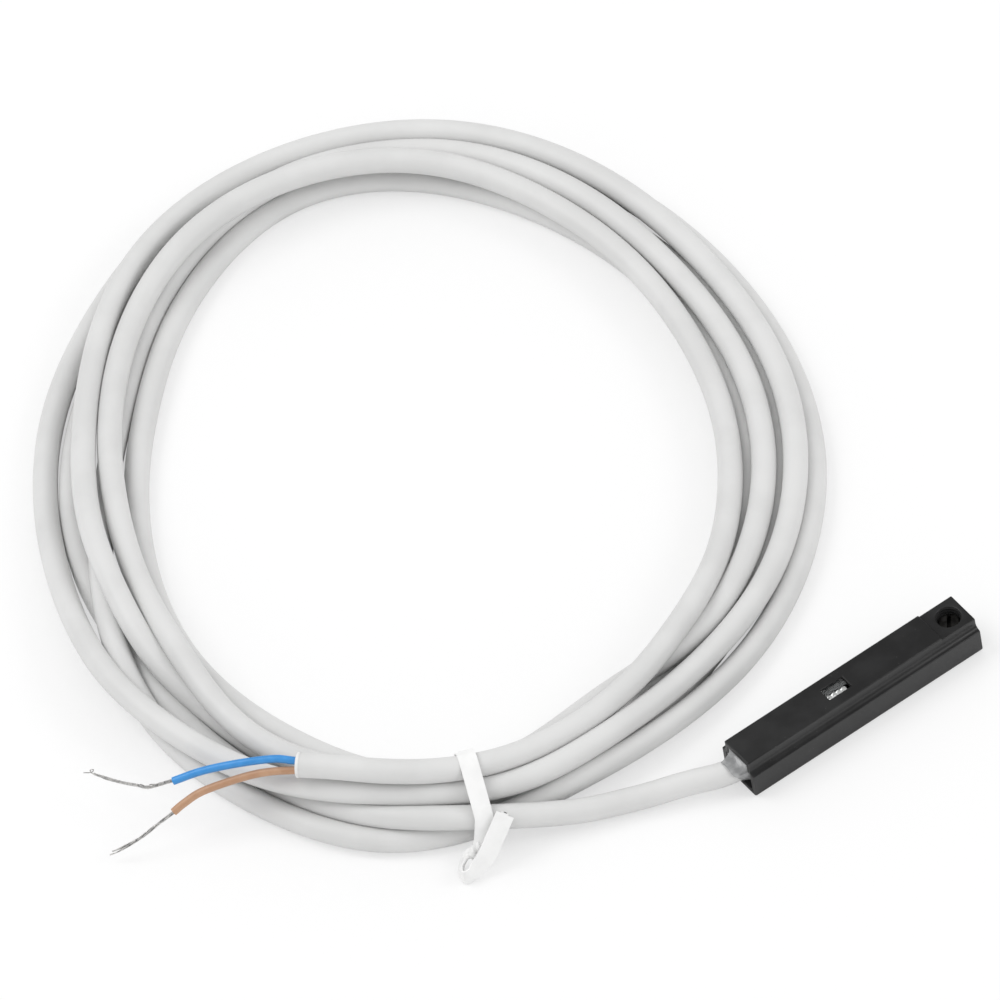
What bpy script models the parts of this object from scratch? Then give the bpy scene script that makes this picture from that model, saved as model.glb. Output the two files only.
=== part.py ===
"""Cylinder reed switch: a slot-mounted magnetic switch with its coiled two-core lead.

Run it with blender --background --python part.py, or from Blender's text editor.
Units are metres, +Z is up. The origin is at the bottom centre of the switch's case,
+X runs along the case towards its clamping screw, and the lead leaves at -X.
"""

import math

import bmesh
import bpy
from mathutils import Matrix, Vector

MM = 0.001

# Case: a moulded black bar with a wide foot, a coved shoulder and a narrower top
CASE_LENGTH = 31.0 * MM
CASE_HEIGHT = 5.1 * MM
FOOT_WIDTH = 5.8 * MM
TOP_WIDTH = 4.4 * MM
TOP_WALL_HEIGHT = 1.0 * MM
FOOT_EDGE_RADIUS = 0.5 * MM
TOP_EDGE_RADIUS = 0.15 * MM
LUG_LENGTH = 4.5 * MM
LUG_STEP = 0.3 * MM
FLOOR_THICKNESS = 0.6 * MM
ROOF_THICKNESS = 0.7 * MM
FOOT_WALL = 0.75 * MM
SHOULDER_WALL = 0.1 * MM
LUG_WEB = 0.8 * MM

# Running and seating clearances
FINE_GAP = 0.1 * MM
SEAL_BORE_GAP = 0.15 * MM
CORD_GAP = 0.3 * MM

# Clamping screw, M2.5 x 4, slotted, sunk in the lug
SCREW_DIAMETER = 2.5 * MM
SCREW_LENGTH = 3.9 * MM
SCREW_SUNK = 0.8 * MM
SCREW_FROM_TIP = 2.05 * MM
SCREW_HOLE_GAP = 0.17 * MM
SCREW_SLOT_WIDTH = 0.45 * MM
SCREW_SLOT_DEPTH = 0.8 * MM
SCREW_POINT_CHAMFER = 0.35 * MM
SCREW_SLOT_ANGLE = math.radians(54.0)

# Window over the indicator lamp
WINDOW_LENGTH = 3.0 * MM
WINDOW_WIDTH = 1.75 * MM
LENS_SUNK = 0.15 * MM
LIGHT_PIPE_LENGTH = 1.5 * MM
LIGHT_PIPE_WIDTH = 1.1 * MM

# Circuit board and what is soldered to it
BOARD_WIDTH = 3.9 * MM
BOARD_THICKNESS = 0.5 * MM
BOARD_END_GAP = 0.3 * MM
WIRE_BAY_LENGTH = 2.8 * MM
LED_SIZE = (1.6 * MM, 0.8 * MM, 0.6 * MM)
RESISTOR_SIZE = (1.6 * MM, 0.8 * MM, 0.45 * MM)
DIODE_SIZE = (1.7 * MM, 1.25 * MM, 0.95 * MM)
CHIP_GAP_SHARES = (0.1, 0.215, 0.4935)
SOLDER_RADIUS = 0.38 * MM
SOLDER_HEIGHT = 0.3 * MM
SOLDER_TO_BOARD_END = 0.6 * MM
WIRE_PAD_FROM_REAR = 1.4 * MM
WIRE_PAD_SPREAD = 2.0 * MM

# Reed capsule: two nickel-iron blades in a glass tube
GLASS_DIAMETER = 1.8 * MM
GLASS_TO_BOARD = 84 / 203
GLASS_WALL = 0.28 * MM
GLASS_END_WALL = 0.6 * MM
GLASS_END_ROUND = 0.25 * MM
REED_LEAD_DIAMETER = 0.3 * MM
REED_LEAD_REACH = 0.5 * MM
REED_LEAD_BEND = 0.375 * MM
BLADE_WIDTH = 0.85 * MM
BLADE_ROOT_WIDTH = 0.45 * MM
BLADE_THICKNESS = 0.15 * MM
BLADE_OVERLAP = 0.8 * MM
CONTACT_GAP = 0.3 * MM

# Resin seal round the lead, and the two cores inside the case
SEAL_LENGTH = 2.1 * MM
SEAL_SUNK = 0.2 * MM
CORE_DIAMETER = 0.9 * MM
CORE_SPREAD = 1.1 * MM
CORE_BEND_ENDS = (0.25, 0.75)
SHEATH_IN_CASE = 1.7 * MM

# Lead: round two-core cable, wound into a coil and held by a twist tie
CABLE_TO_CASE_HEIGHT = 28 / 51
CABLE_ROOM = 0.3 * MM
COIL_CENTRE = (-16.5 * MM, 54.0 * MM)
COIL_LONG_RADIUS = 46.0 * MM
COIL_SHORT_RADIUS = 37.4 * MM
COIL_LONG_DIRECTION = math.radians(61.2)
COIL_WIDTH = 10.8 * MM
COIL_HEIGHT = 6.8 * MM
COIL_WAIST_WIDTH = 8.4 * MM
COIL_WAIST_INWARD = 0.9 * MM
COIL_WAIST_ANGLE = math.radians(-93.0)
COIL_WAIST_SPREAD = math.radians(40.0)
COIL_POINTS = 72
COIL_SIDES = 16
STRAND_BUNDLE_DIAMETER = 0.5 * MM
TIE_WIDTH = 2.3 * MM
TIE_THICKNESS = 0.6 * MM
TIE_GAP = 0.25 * MM
TIE_OFF_FLOOR = 0.05 * MM

# Lead route from the case to the coil, chosen by hand (x, y, z in millimetres)
LEAD_OUT_ROUTE = (
    (-18.0, 0.7, 2.2),
    (-20.2, 1.9, 1.8),
    (-22.3, 2.9, 1.55),
    (-24.0, 3.6, 1.5),
)

# Loose end of the lead on top of the coil, up to where the sheath is cut
TAIL_ROUTE = (
    (-44.6, 18.6, 8.5),
    (-46.2, 20.1, 8.5),
    (-48.4, 22.3, 8.5),
    (-50.6, 24.8, 8.5),
    (-52.4, 26.7, 8.5),
    (-53.9, 28.2, 8.5),
)

# Stripped cores and their bare strands
BLUE_CORE_ROUTE = (
    (-54.0, 28.75, 8.85),
    (-55.5, 30.4, 8.85),
    (-58.6, 32.9, 8.3),
    (-61.8, 35.4, 7.3),
    (-64.6, 37.1, 6.3),
)
BROWN_CORE_ROUTE = (
    (-54.4, 28.05, 8.15),
    (-56.8, 30.2, 7.8),
    (-59.3, 32.0, 7.1),
    (-62.9, 34.0, 6.0),
    (-65.1, 34.6, 5.2),
    (-66.5, 34.8, 4.6),
)
BLUE_STRAND_ROUTE = (
    (-64.9, 37.4, 6.2),
    (-66.8, 38.9, 5.4),
    (-67.4, 40.2, 5.0),
    (-68.2, 42.1, 4.4),
    (-69.0, 44.2, 3.9),
    (-69.5, 45.6, 3.5),
)
BROWN_STRAND_ROUTE = (
    (-66.95, 34.9, 4.35),
    (-68.5, 35.3, 3.6),
    (-70.5, 35.7, 2.7),
    (-72.4, 36.4, 1.9),
    (-73.9, 37.1, 1.3),
)

# Loose tail of the twist tie, as (along the coil, across it, height above the floor)
# in millimetres from the coil's centre line at its waist
TIE_TAIL_ROUTE = (
    (-0.1, -5.0, 2.8),
    (-0.4, -6.7, 1.4),
    (-0.4, -8.1, 1.0),
    (0.0, -8.8, 1.7),
    (0.5, -8.3, 2.7),
    (1.2, -7.2, 3.7),
    (2.05, -5.9, 4.7),
    (2.9, -4.8, 5.7),
)
TIE_START_OFFSET = 4.0 * MM
TIE_WRAP_START = math.radians(-90.0)
TIE_WRAP_TURN = math.radians(255.0)
TIE_WRAP_STEPS = 16

# Places that follow from the sizes above
REAR_END = -CASE_LENGTH / 2
FRONT_END = CASE_LENGTH / 2
COVE_RADIUS = (FOOT_WIDTH - TOP_WIDTH) / 2
FOOT_HEIGHT = CASE_HEIGHT - TOP_WALL_HEIGHT - COVE_RADIUS
LUG_START = FRONT_END - LUG_LENGTH
CAVITY_FRONT = LUG_START - LUG_WEB
CAVITY_STEP = FOOT_HEIGHT - SHOULDER_WALL
CAVITY_TOP = CASE_HEIGHT - ROOF_THICKNESS
CAVITY_FOOT_HALF = FOOT_WIDTH / 2 - FOOT_WALL
LEAD_EXIT_HEIGHT = (FLOOR_THICKNESS + CAVITY_TOP) / 2
CABLE_DIAMETER = CASE_HEIGHT * CABLE_TO_CASE_HEIGHT
CAVITY_TOP_HALF = CABLE_DIAMETER / 2 + CABLE_ROOM
SCREW_X = FRONT_END - SCREW_FROM_TIP
SCREW_TOP = CASE_HEIGHT - SCREW_SUNK - LUG_STEP
BOARD_FRONT = CAVITY_FRONT - BOARD_END_GAP
BOARD_REAR = REAR_END + SEAL_SUNK + SEAL_LENGTH + WIRE_BAY_LENGTH
BOARD_LENGTH = BOARD_FRONT - BOARD_REAR
BOARD_BOTTOM = FLOOR_THICKNESS + FINE_GAP
BOARD_TOP = BOARD_BOTTOM + BOARD_THICKNESS
SEATED_Z = BOARD_TOP + FINE_GAP
GLASS_Z = SEATED_Z + GLASS_DIAMETER / 2
GLASS_LENGTH = BOARD_LENGTH * GLASS_TO_BOARD
FRONT_SOLDER_X = BOARD_FRONT - SOLDER_TO_BOARD_END
GLASS_FRONT = FRONT_SOLDER_X - REED_LEAD_REACH
GLASS_REAR = GLASS_FRONT - GLASS_LENGTH
GLASS_X = (GLASS_FRONT + GLASS_REAR) / 2
REAR_SOLDER_X = GLASS_REAR - REED_LEAD_REACH
WIRE_PAD_X = BOARD_REAR + WIRE_PAD_FROM_REAR
CHIPS_START = WIRE_PAD_X + SOLDER_RADIUS
CHIPS_SLACK = (
    REAR_SOLDER_X - SOLDER_RADIUS - CHIPS_START - DIODE_SIZE[0] - RESISTOR_SIZE[0] - LED_SIZE[0]
)
DIODE_X = CHIPS_START + CHIPS_SLACK * CHIP_GAP_SHARES[0] + DIODE_SIZE[0] / 2
RESISTOR_X = (
    DIODE_X + (DIODE_SIZE[0] + RESISTOR_SIZE[0]) / 2 + CHIPS_SLACK * CHIP_GAP_SHARES[1]
)
WINDOW_X = RESISTOR_X + (RESISTOR_SIZE[0] + LED_SIZE[0]) / 2 + CHIPS_SLACK * CHIP_GAP_SHARES[2]
SHEATH_START = REAR_END + SHEATH_IN_CASE
TIE_SEAT = TIE_GAP + TIE_THICKNESS / 2
COIL_WAIST_LIFT = TIE_OFF_FLOOR + TIE_THICKNESS + TIE_GAP

COLOURS = {
    "black_plastic": ((0.012, 0.012, 0.013), 0.45, 0.0),
    "steel": ((0.55, 0.55, 0.56), 0.35, 1.0),
    "clear_resin": ((0.82, 0.85, 0.86), 0.15, 0.0),
    "lamp_red": ((0.75, 0.05, 0.04), 0.25, 0.0),
    "board_green": ((0.03, 0.22, 0.09), 0.5, 0.0),
    "chip_black": ((0.02, 0.02, 0.02), 0.5, 0.0),
    "glass": ((0.75, 0.86, 0.82), 0.05, 0.0),
    "nickel_iron": ((0.62, 0.6, 0.56), 0.3, 1.0),
    "solder": ((0.7, 0.71, 0.72), 0.3, 1.0),
    "grey_resin": ((0.5, 0.52, 0.53), 0.35, 0.0),
    "brown_pvc": ((0.23, 0.08, 0.04), 0.45, 0.0),
    "blue_pvc": ((0.03, 0.12, 0.5), 0.45, 0.0),
    "grey_pvc": ((0.62, 0.63, 0.64), 0.45, 0.0),
    "tinned_copper": ((0.75, 0.74, 0.72), 0.3, 1.0),
    "white_plastic": ((0.88, 0.88, 0.87), 0.4, 0.0),
}


def clear_scene():
    """Remove every object that is in the scene."""
    for item in list(bpy.data.objects):
        bpy.data.objects.remove(item, do_unlink=True)


def new_collection(name):
    """Make a collection in the scene."""
    collection = bpy.data.collections.new(name)
    bpy.context.scene.collection.children.link(collection)
    return collection


def new_material(part_name, finish):
    """Make the Principled material of one part."""
    colour, roughness, metallic = COLOURS[finish]
    material = bpy.data.materials.new(part_name + "_" + finish)
    material.use_nodes = True
    shader = material.node_tree.nodes["Principled BSDF"]
    shader.inputs["Base Color"].default_value = (*colour, 1.0)
    shader.inputs["Roughness"].default_value = roughness
    shader.inputs["Metallic"].default_value = metallic
    return material


def add_part(name, data, finish, parts, parent):
    """Put a mesh or curve in the model as one named part."""
    item = bpy.data.objects.new(name, data)
    data.materials.append(new_material(name, finish))
    parts.objects.link(item)
    item.parent = parent
    return item


def add_cutter(name, mesh, cutters):
    """Put a mesh in the model as a cutter that is not rendered."""
    item = bpy.data.objects.new(name, mesh)
    item.hide_render = True
    item.display_type = "WIRE"
    cutters.objects.link(item)
    return item


def cut(part, cutter):
    """Subtract a cutter from a part."""
    boolean = part.modifiers.new(cutter.name, "BOOLEAN")
    boolean.operation = "DIFFERENCE"
    boolean.solver = "EXACT"
    boolean.object = cutter


def mesh_from(bm, name):
    """Turn a bmesh into a mesh and free it."""
    mesh = bpy.data.meshes.new(name)
    bm.to_mesh(mesh)
    bm.free()
    return mesh


def box_mesh(name, low, high):
    """Make a box between two corners."""
    bm = bmesh.new()
    bmesh.ops.create_cube(bm, size=1.0)
    size = Vector(high) - Vector(low)
    centre = (Vector(high) + Vector(low)) / 2
    bmesh.ops.scale(bm, vec=size, verts=bm.verts)
    bmesh.ops.translate(bm, vec=centre, verts=bm.verts)
    return mesh_from(bm, name)


def cylinder_mesh(name, radius, depth, segments):
    """Make a closed cylinder along Z, centred on its own origin."""
    bm = bmesh.new()
    bmesh.ops.create_cone(
        bm, cap_ends=True, segments=segments, radius1=radius, radius2=radius, depth=depth
    )
    return mesh_from(bm, name)


def shade_round(mesh, angle=35.0):
    """Shade a mesh smooth, apart from its sharp edges."""
    mesh.shade_smooth()
    mesh.set_sharp_from_angle(angle=math.radians(angle))


def arc(centre, radius, start, end, steps):
    """List the points of an arc, its angles in degrees."""
    points = []
    for step in range(steps + 1):
        angle = math.radians(start + (end - start) * step / steps)
        points.append((centre[0] + radius * math.cos(angle), centre[1] + radius * math.sin(angle)))
    return points


def mirrored(right_side):
    """Close an outline from its right side, listed bottom to top."""
    left_side = [(-across, up) for across, up in reversed(right_side)]
    return right_side + left_side


def section_mesh(name, outline, low_x, high_x):
    """Extrude an outline in Y and Z along X, through a filled 2D curve."""
    curve = bpy.data.curves.new(name + "_outline", "CURVE")
    curve.dimensions = "2D"
    curve.fill_mode = "BOTH"
    curve.extrude = (high_x - low_x) / 2
    spline = curve.splines.new("POLY")
    spline.points.add(len(outline) - 1)
    for point, (across, up) in zip(spline.points, outline):
        point.co = (across, up, 0.0, 1.0)
    spline.use_cyclic_u = True
    guide = bpy.data.objects.new(name + "_outline", curve)
    bpy.context.scene.collection.objects.link(guide)
    bpy.context.view_layer.update()
    evaluated = guide.evaluated_get(bpy.context.evaluated_depsgraph_get())
    mesh = bpy.data.meshes.new_from_object(evaluated)
    mesh.name = name
    bpy.data.objects.remove(guide, do_unlink=True)
    turn = Matrix.Rotation(math.radians(90.0), 4, "Z") @ Matrix.Rotation(math.radians(90.0), 4, "X")
    place = Matrix.Translation(((low_x + high_x) / 2, 0.0, 0.0)) @ turn
    bm = bmesh.new()
    bm.from_mesh(mesh)
    bmesh.ops.remove_doubles(bm, verts=bm.verts, dist=1e-7)
    bmesh.ops.transform(bm, matrix=place, verts=bm.verts)
    bmesh.ops.recalc_face_normals(bm, faces=bm.faces)
    bm.to_mesh(mesh)
    bm.free()
    return mesh


def smooth_route(route, spacing):
    """Read evenly spaced points from a smooth curve through a route's own points."""
    knots = [Vector(point) for point in route]
    before = knots[0] * 2 - knots[1]
    after = knots[-1] * 2 - knots[-2]
    padded = [before] + knots + [after]
    fine = []
    steps = 16
    for index in range(1, len(padded) - 2):
        p0, p1, p2, p3 = padded[index - 1:index + 3]
        for step in range(steps):
            t = step / steps
            fine.append(
                0.5 * (
                    2 * p1
                    + (p2 - p0) * t
                    + (2 * p0 - 5 * p1 + 4 * p2 - p3) * t ** 2
                    + (3 * p1 - p0 - 3 * p2 + p3) * t ** 3
                )
            )
    fine.append(knots[-1])
    length = sum((b - a).length for a, b in zip(fine, fine[1:]))
    count = max(2, round(length / spacing))
    points = [fine[0]]
    walked = 0.0
    for a, b in zip(fine, fine[1:]):
        walked += (b - a).length
        if walked >= length * len(points) / count and len(points) < count:
            points.append(b)
    points.append(fine[-1])
    return points


def in_metres(route):
    """Turn a route that is given in millimetres into metres."""
    return [tuple(value * MM for value in point) for point in route]


def route_curve(name, points, radius=0.0, section=None):
    """Make a tube, or a swept section, along a list of points."""
    curve = bpy.data.curves.new(name, "CURVE")
    curve.dimensions = "3D"
    if section is None:
        curve.bevel_depth = radius
        curve.bevel_resolution = 2
    else:
        curve.bevel_mode = "OBJECT"
        curve.bevel_object = section
    curve.use_fill_caps = True
    spline = curve.splines.new("POLY")
    spline.points.add(len(points) - 1)
    for point, place in zip(spline.points, points):
        point.co = (*place, 1.0)
    return curve


def section_guide(name, outline, cutters):
    """Make a closed flat curve that other curves sweep, run clockwise so they face out."""
    curve = bpy.data.curves.new(name, "CURVE")
    curve.dimensions = "2D"
    curve.fill_mode = "NONE"
    spline = curve.splines.new("POLY")
    spline.points.add(len(outline) - 1)
    for point, (across, up) in zip(spline.points, reversed(outline)):
        point.co = (across, up, 0.0, 1.0)
    spline.use_cyclic_u = True
    guide = bpy.data.objects.new(name, curve)
    guide.hide_render = True
    guide.display_type = "WIRE"
    cutters.objects.link(guide)
    return guide


def case_outline():
    """Outline of the case: foot with round edges, coved shoulder, narrow top."""
    foot_half = FOOT_WIDTH / 2
    top_half = TOP_WIDTH / 2
    corner = (foot_half - FOOT_EDGE_RADIUS, FOOT_EDGE_RADIUS)
    cove = (foot_half, FOOT_HEIGHT + COVE_RADIUS)
    crest = (top_half - TOP_EDGE_RADIUS, CASE_HEIGHT - TOP_EDGE_RADIUS)
    right_side = arc(corner, FOOT_EDGE_RADIUS, -90, 0, 5)
    right_side += arc(cove, COVE_RADIUS, -90, -180, 8)
    right_side += arc(crest, TOP_EDGE_RADIUS, 0, 90, 3)
    return mirrored(right_side)


def cavity_outline(inset):
    """Outline of the hollow in the case, or of what fills it with a gap all round."""
    foot_half = CAVITY_FOOT_HALF - inset
    top_half = CAVITY_TOP_HALF - inset
    right_side = [
        (foot_half, FLOOR_THICKNESS + inset),
        (foot_half, CAVITY_STEP - inset),
        (top_half, CAVITY_STEP - inset),
        (top_half, CAVITY_TOP - inset),
    ]
    return mirrored(right_side)


def make_case(parts, cutters, parent):
    """Moulded case with its hollow, window, stepped lug and screw hole."""
    past = 1.0 * MM
    mesh = section_mesh("case", case_outline(), REAR_END, FRONT_END)
    case = add_part("case", mesh, "black_plastic", parts, parent)
    hollow = section_mesh("case_hollow", cavity_outline(0.0), REAR_END - past, CAVITY_FRONT)
    cut(case, add_cutter("case_hollow", hollow, cutters))
    half_length = WINDOW_LENGTH / 2
    half_width = WINDOW_WIDTH / 2
    window = box_mesh(
        "window_cut",
        (WINDOW_X - half_length, -half_width, CAVITY_TOP - past),
        (WINDOW_X + half_length, half_width, CASE_HEIGHT + past),
    )
    cut(case, add_cutter("window_cut", window, cutters))
    step = box_mesh(
        "lug_step_cut",
        (LUG_START, -FOOT_WIDTH, CASE_HEIGHT - LUG_STEP),
        (FRONT_END + past, FOOT_WIDTH, CASE_HEIGHT + past),
    )
    cut(case, add_cutter("lug_step_cut", step, cutters))
    hole_radius = SCREW_DIAMETER / 2 + SCREW_HOLE_GAP
    hole = add_cutter(
        "screw_hole", cylinder_mesh("screw_hole", hole_radius, CASE_HEIGHT * 2, 40), cutters
    )
    hole.location = (SCREW_X, 0.0, CASE_HEIGHT / 2)
    cut(case, hole)


def make_set_screw(parts, cutters, parent):
    """Slotted headless screw, its origin on its own axis."""
    radius = SCREW_DIAMETER / 2
    chamfer = SCREW_POINT_CHAMFER
    rim = FINE_GAP
    bm = bmesh.new()
    profile = (
        (0.0, SCREW_LENGTH),
        (radius - rim, SCREW_LENGTH),
        (radius, SCREW_LENGTH - rim),
        (radius, chamfer),
        (radius - chamfer, 0.0),
        (0.0, 0.0),
    )
    verts = [bm.verts.new((across, 0.0, up)) for across, up in profile]
    for a, b in zip(verts, verts[1:]):
        bm.edges.new((a, b))
    screw = add_part("set_screw", mesh_from(bm, "set_screw"), "steel", parts, parent)
    screw.location = (SCREW_X, 0.0, SCREW_TOP - SCREW_LENGTH)
    screw.rotation_euler = (0.0, 0.0, SCREW_SLOT_ANGLE)
    turn(screw, 40)
    slot_mesh = box_mesh(
        "screw_slot",
        (-SCREW_DIAMETER, -SCREW_SLOT_WIDTH / 2, SCREW_LENGTH - SCREW_SLOT_DEPTH),
        (SCREW_DIAMETER, SCREW_SLOT_WIDTH / 2, SCREW_LENGTH * 2),
    )
    slot = add_cutter("screw_slot", slot_mesh, cutters)
    slot.location = screw.location
    slot.rotation_euler = screw.rotation_euler
    cut(screw, slot)


def turn(item, steps):
    """Turn an object's profile once round its Z axis."""
    screw = item.modifiers.new("turned", "SCREW")
    screw.axis = "Z"
    screw.angle = math.tau
    screw.steps = steps
    screw.render_steps = steps
    screw.use_merge_vertices = True
    screw.merge_threshold = 1e-6
    screw.use_smooth_shade = True


def make_window_lens(parts, parent):
    """Clear resin window with its light pipe down to the lamp, as one piece."""
    lamp_top = SEATED_Z + LED_SIZE[2]
    flange_low = CAVITY_TOP + FINE_GAP
    length = WINDOW_LENGTH - FINE_GAP * 2
    width = WINDOW_WIDTH - FINE_GAP * 2
    bm = bmesh.new()
    bmesh.ops.create_cube(bm, size=1.0)
    bmesh.ops.scale(
        bm, vec=(length, width, CASE_HEIGHT - LENS_SUNK - flange_low), verts=bm.verts
    )
    middle = (flange_low + CASE_HEIGHT - LENS_SUNK) / 2
    bmesh.ops.translate(bm, vec=(WINDOW_X, 0.0, middle), verts=bm.verts)
    under = [face for face in bm.faces if face.normal.z < -0.9]
    bmesh.ops.inset_individual(
        bm, faces=under, thickness=min(length - LIGHT_PIPE_LENGTH, width - LIGHT_PIPE_WIDTH) / 2
    )
    for vert in under[0].verts:
        side = math.copysign(LIGHT_PIPE_LENGTH / 2, vert.co.x - WINDOW_X)
        vert.co.x = WINDOW_X + side
        vert.co.y = math.copysign(LIGHT_PIPE_WIDTH / 2, vert.co.y)
    pipe = bmesh.ops.extrude_face_region(bm, geom=under)
    ends = [item for item in pipe["geom"] if isinstance(item, bmesh.types.BMVert)]
    bmesh.ops.delete(bm, geom=under, context="FACES_ONLY")
    drop = flange_low - (lamp_top + FINE_GAP)
    bmesh.ops.translate(bm, vec=(0.0, 0.0, -drop), verts=ends)
    bmesh.ops.recalc_face_normals(bm, faces=bm.faces)
    add_part("window_lens", mesh_from(bm, "window_lens"), "clear_resin", parts, parent)


def make_board(parts, parent):
    """Narrow circuit board on the floor of the case."""
    mesh = box_mesh(
        "circuit_board",
        (BOARD_REAR, -BOARD_WIDTH / 2, BOARD_BOTTOM),
        (BOARD_FRONT, BOARD_WIDTH / 2, BOARD_TOP),
    )
    add_part("circuit_board", mesh, "board_green", parts, parent)


def make_chip(name, size, x, finish, parts, parent):
    """Small moulded component that stands on the board."""
    length, width, height = size
    mesh = box_mesh(
        name, (x - length / 2, -width / 2, SEATED_Z), (x + length / 2, width / 2, SEATED_Z + height)
    )
    chip = add_part(name, mesh, finish, parts, parent)
    edges = chip.modifiers.new("edges", "BEVEL")
    edges.width = min(size) / 8
    edges.segments = 1


def make_solder(name, x, y, parts, parent):
    """Domed solder joint on the board."""
    bm = bmesh.new()
    bmesh.ops.create_uvsphere(bm, u_segments=12, v_segments=8, radius=SOLDER_RADIUS)
    everything = bm.verts[:] + bm.edges[:] + bm.faces[:]
    bmesh.ops.bisect_plane(
        bm, geom=everything, dist=1e-7, plane_co=(0, 0, 0), plane_no=(0, 0, 1), clear_inner=True
    )
    rim = [edge for edge in bm.edges if edge.is_boundary]
    bmesh.ops.contextual_create(bm, geom=rim)
    bmesh.ops.scale(bm, vec=(1.0, 1.0, SOLDER_HEIGHT / SOLDER_RADIUS), verts=bm.verts)
    bmesh.ops.recalc_face_normals(bm, faces=bm.faces)
    mesh = mesh_from(bm, name)
    shade_round(mesh)
    joint = add_part(name, mesh, "solder", parts, parent)
    joint.location = (x, y, BOARD_TOP + FINE_GAP / 2)


def make_reed_glass(parts, parent):
    """Glass tube, necked in to a hole at each end for the leads."""
    outer = GLASS_DIAMETER / 2
    inner = outer - GLASS_WALL
    hole = REED_LEAD_DIAMETER / 2 + FINE_GAP
    half = GLASS_LENGTH / 2
    shoulder = half - GLASS_END_WALL
    corner = (outer - GLASS_END_ROUND, half - GLASS_END_ROUND)
    top_round = list(reversed(arc(corner, GLASS_END_ROUND, 0, 90, 3)))
    bottom_round = [(across, -up) for across, up in reversed(top_round)]
    profile = [(hole, half)] + top_round + bottom_round
    profile += [(hole, -half), (hole, -shoulder), (inner, -shoulder), (inner, shoulder), (hole, shoulder)]
    bm = bmesh.new()
    verts = [bm.verts.new((across, 0.0, up)) for across, up in profile]
    for a, b in zip(verts, verts[1:] + verts[:1]):
        bm.edges.new((a, b))
    glass = add_part("reed_glass", mesh_from(bm, "reed_glass"), "glass", parts, parent)
    glass.location = (GLASS_X, 0.0, GLASS_Z)
    glass.rotation_euler = (0.0, math.radians(90.0), 0.0)
    turn(glass, 28)


def make_reed_lead(name, side, parts, parent):
    """Round lead, from inside the glass seal down to its solder joint."""
    wire = REED_LEAD_DIAMETER / 2
    inside = GLASS_X + side * (GLASS_LENGTH / 2 - GLASS_END_WALL + FINE_GAP)
    bend = GLASS_X + side * (GLASS_LENGTH / 2 + REED_LEAD_REACH)
    foot = BOARD_TOP + SOLDER_HEIGHT + FINE_GAP * 1.5
    route = (
        (inside, 0.0, GLASS_Z),
        (bend - side * REED_LEAD_BEND, 0.0, GLASS_Z),
        (bend - side * REED_LEAD_BEND / 4, 0.0, GLASS_Z - REED_LEAD_BEND / 4),
        (bend, 0.0, GLASS_Z - REED_LEAD_BEND),
        (bend, 0.0, foot),
    )
    curve = route_curve(name, route, radius=wire)
    add_part(name, curve, "nickel_iron", parts, parent)


def make_reed_blade(name, side, parts, parent):
    """Flat contact blade, its origin where it leaves the glass seal and flexes."""
    root = GLASS_LENGTH / 2 - GLASS_END_WALL - FINE_GAP
    length = root + BLADE_OVERLAP / 2
    half_root = BLADE_ROOT_WIDTH / 2
    bm = bmesh.new()
    bmesh.ops.create_cube(bm, size=1.0)
    bmesh.ops.scale(bm, vec=(length, BLADE_WIDTH, BLADE_THICKNESS), verts=bm.verts)
    bmesh.ops.translate(bm, vec=(-side * length / 2, 0.0, 0.0), verts=bm.verts)
    edges = [edge for edge in bm.edges if abs(edge.verts[0].co.x - edge.verts[1].co.x) > length / 2]
    bmesh.ops.subdivide_edges(bm, edges=edges, cuts=3, use_grid_fill=True)
    for vert in bm.verts:
        if abs(vert.co.x) < length / 8:
            vert.co.y = math.copysign(half_root, vert.co.y)
    mesh = mesh_from(bm, name)
    blade = add_part(name, mesh, "nickel_iron", parts, parent)
    lift = side * (CONTACT_GAP + BLADE_THICKNESS) / 2
    blade.location = (GLASS_X + side * root, 0.0, GLASS_Z + lift)


def make_end_seal(parts, cutters, parent):
    """Resin that closes the rear of the case round the lead."""
    low = REAR_END + SEAL_SUNK
    mesh = section_mesh("end_seal", cavity_outline(FINE_GAP), low, low + SEAL_LENGTH)
    seal = add_part("end_seal", mesh, "grey_resin", parts, parent)
    bore_radius = CABLE_DIAMETER / 2 + SEAL_BORE_GAP
    bore = add_cutter(
        "seal_bore", cylinder_mesh("seal_bore", bore_radius, SEAL_LENGTH * 3, 32), cutters
    )
    bore.location = (low, 0.0, LEAD_EXIT_HEIGHT)
    bore.rotation_euler = (0.0, math.radians(90.0), 0.0)
    cut(seal, bore)


def make_inner_core(name, side, finish, parts, parent):
    """Insulated core inside the case, from the sheath's end to its solder pad."""
    start = SHEATH_START + CORD_GAP
    end = WIRE_PAD_X - SOLDER_RADIUS - FINE_GAP
    seated = SEATED_Z + CORE_DIAMETER / 2
    near = side * CORE_SPREAD / 2
    far = side * WIRE_PAD_SPREAD / 2
    bend_start, bend_end = (start + (end - start) * share for share in CORE_BEND_ENDS)
    route = (
        (start, near, LEAD_EXIT_HEIGHT),
        (bend_start, near, LEAD_EXIT_HEIGHT),
        (bend_end, far, seated),
        (end, far, seated),
    )
    points = smooth_route(route, CORE_DIAMETER)
    curve = route_curve(name, points, radius=CORE_DIAMETER / 2)
    add_part(name, curve, finish, parts, parent)


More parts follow.
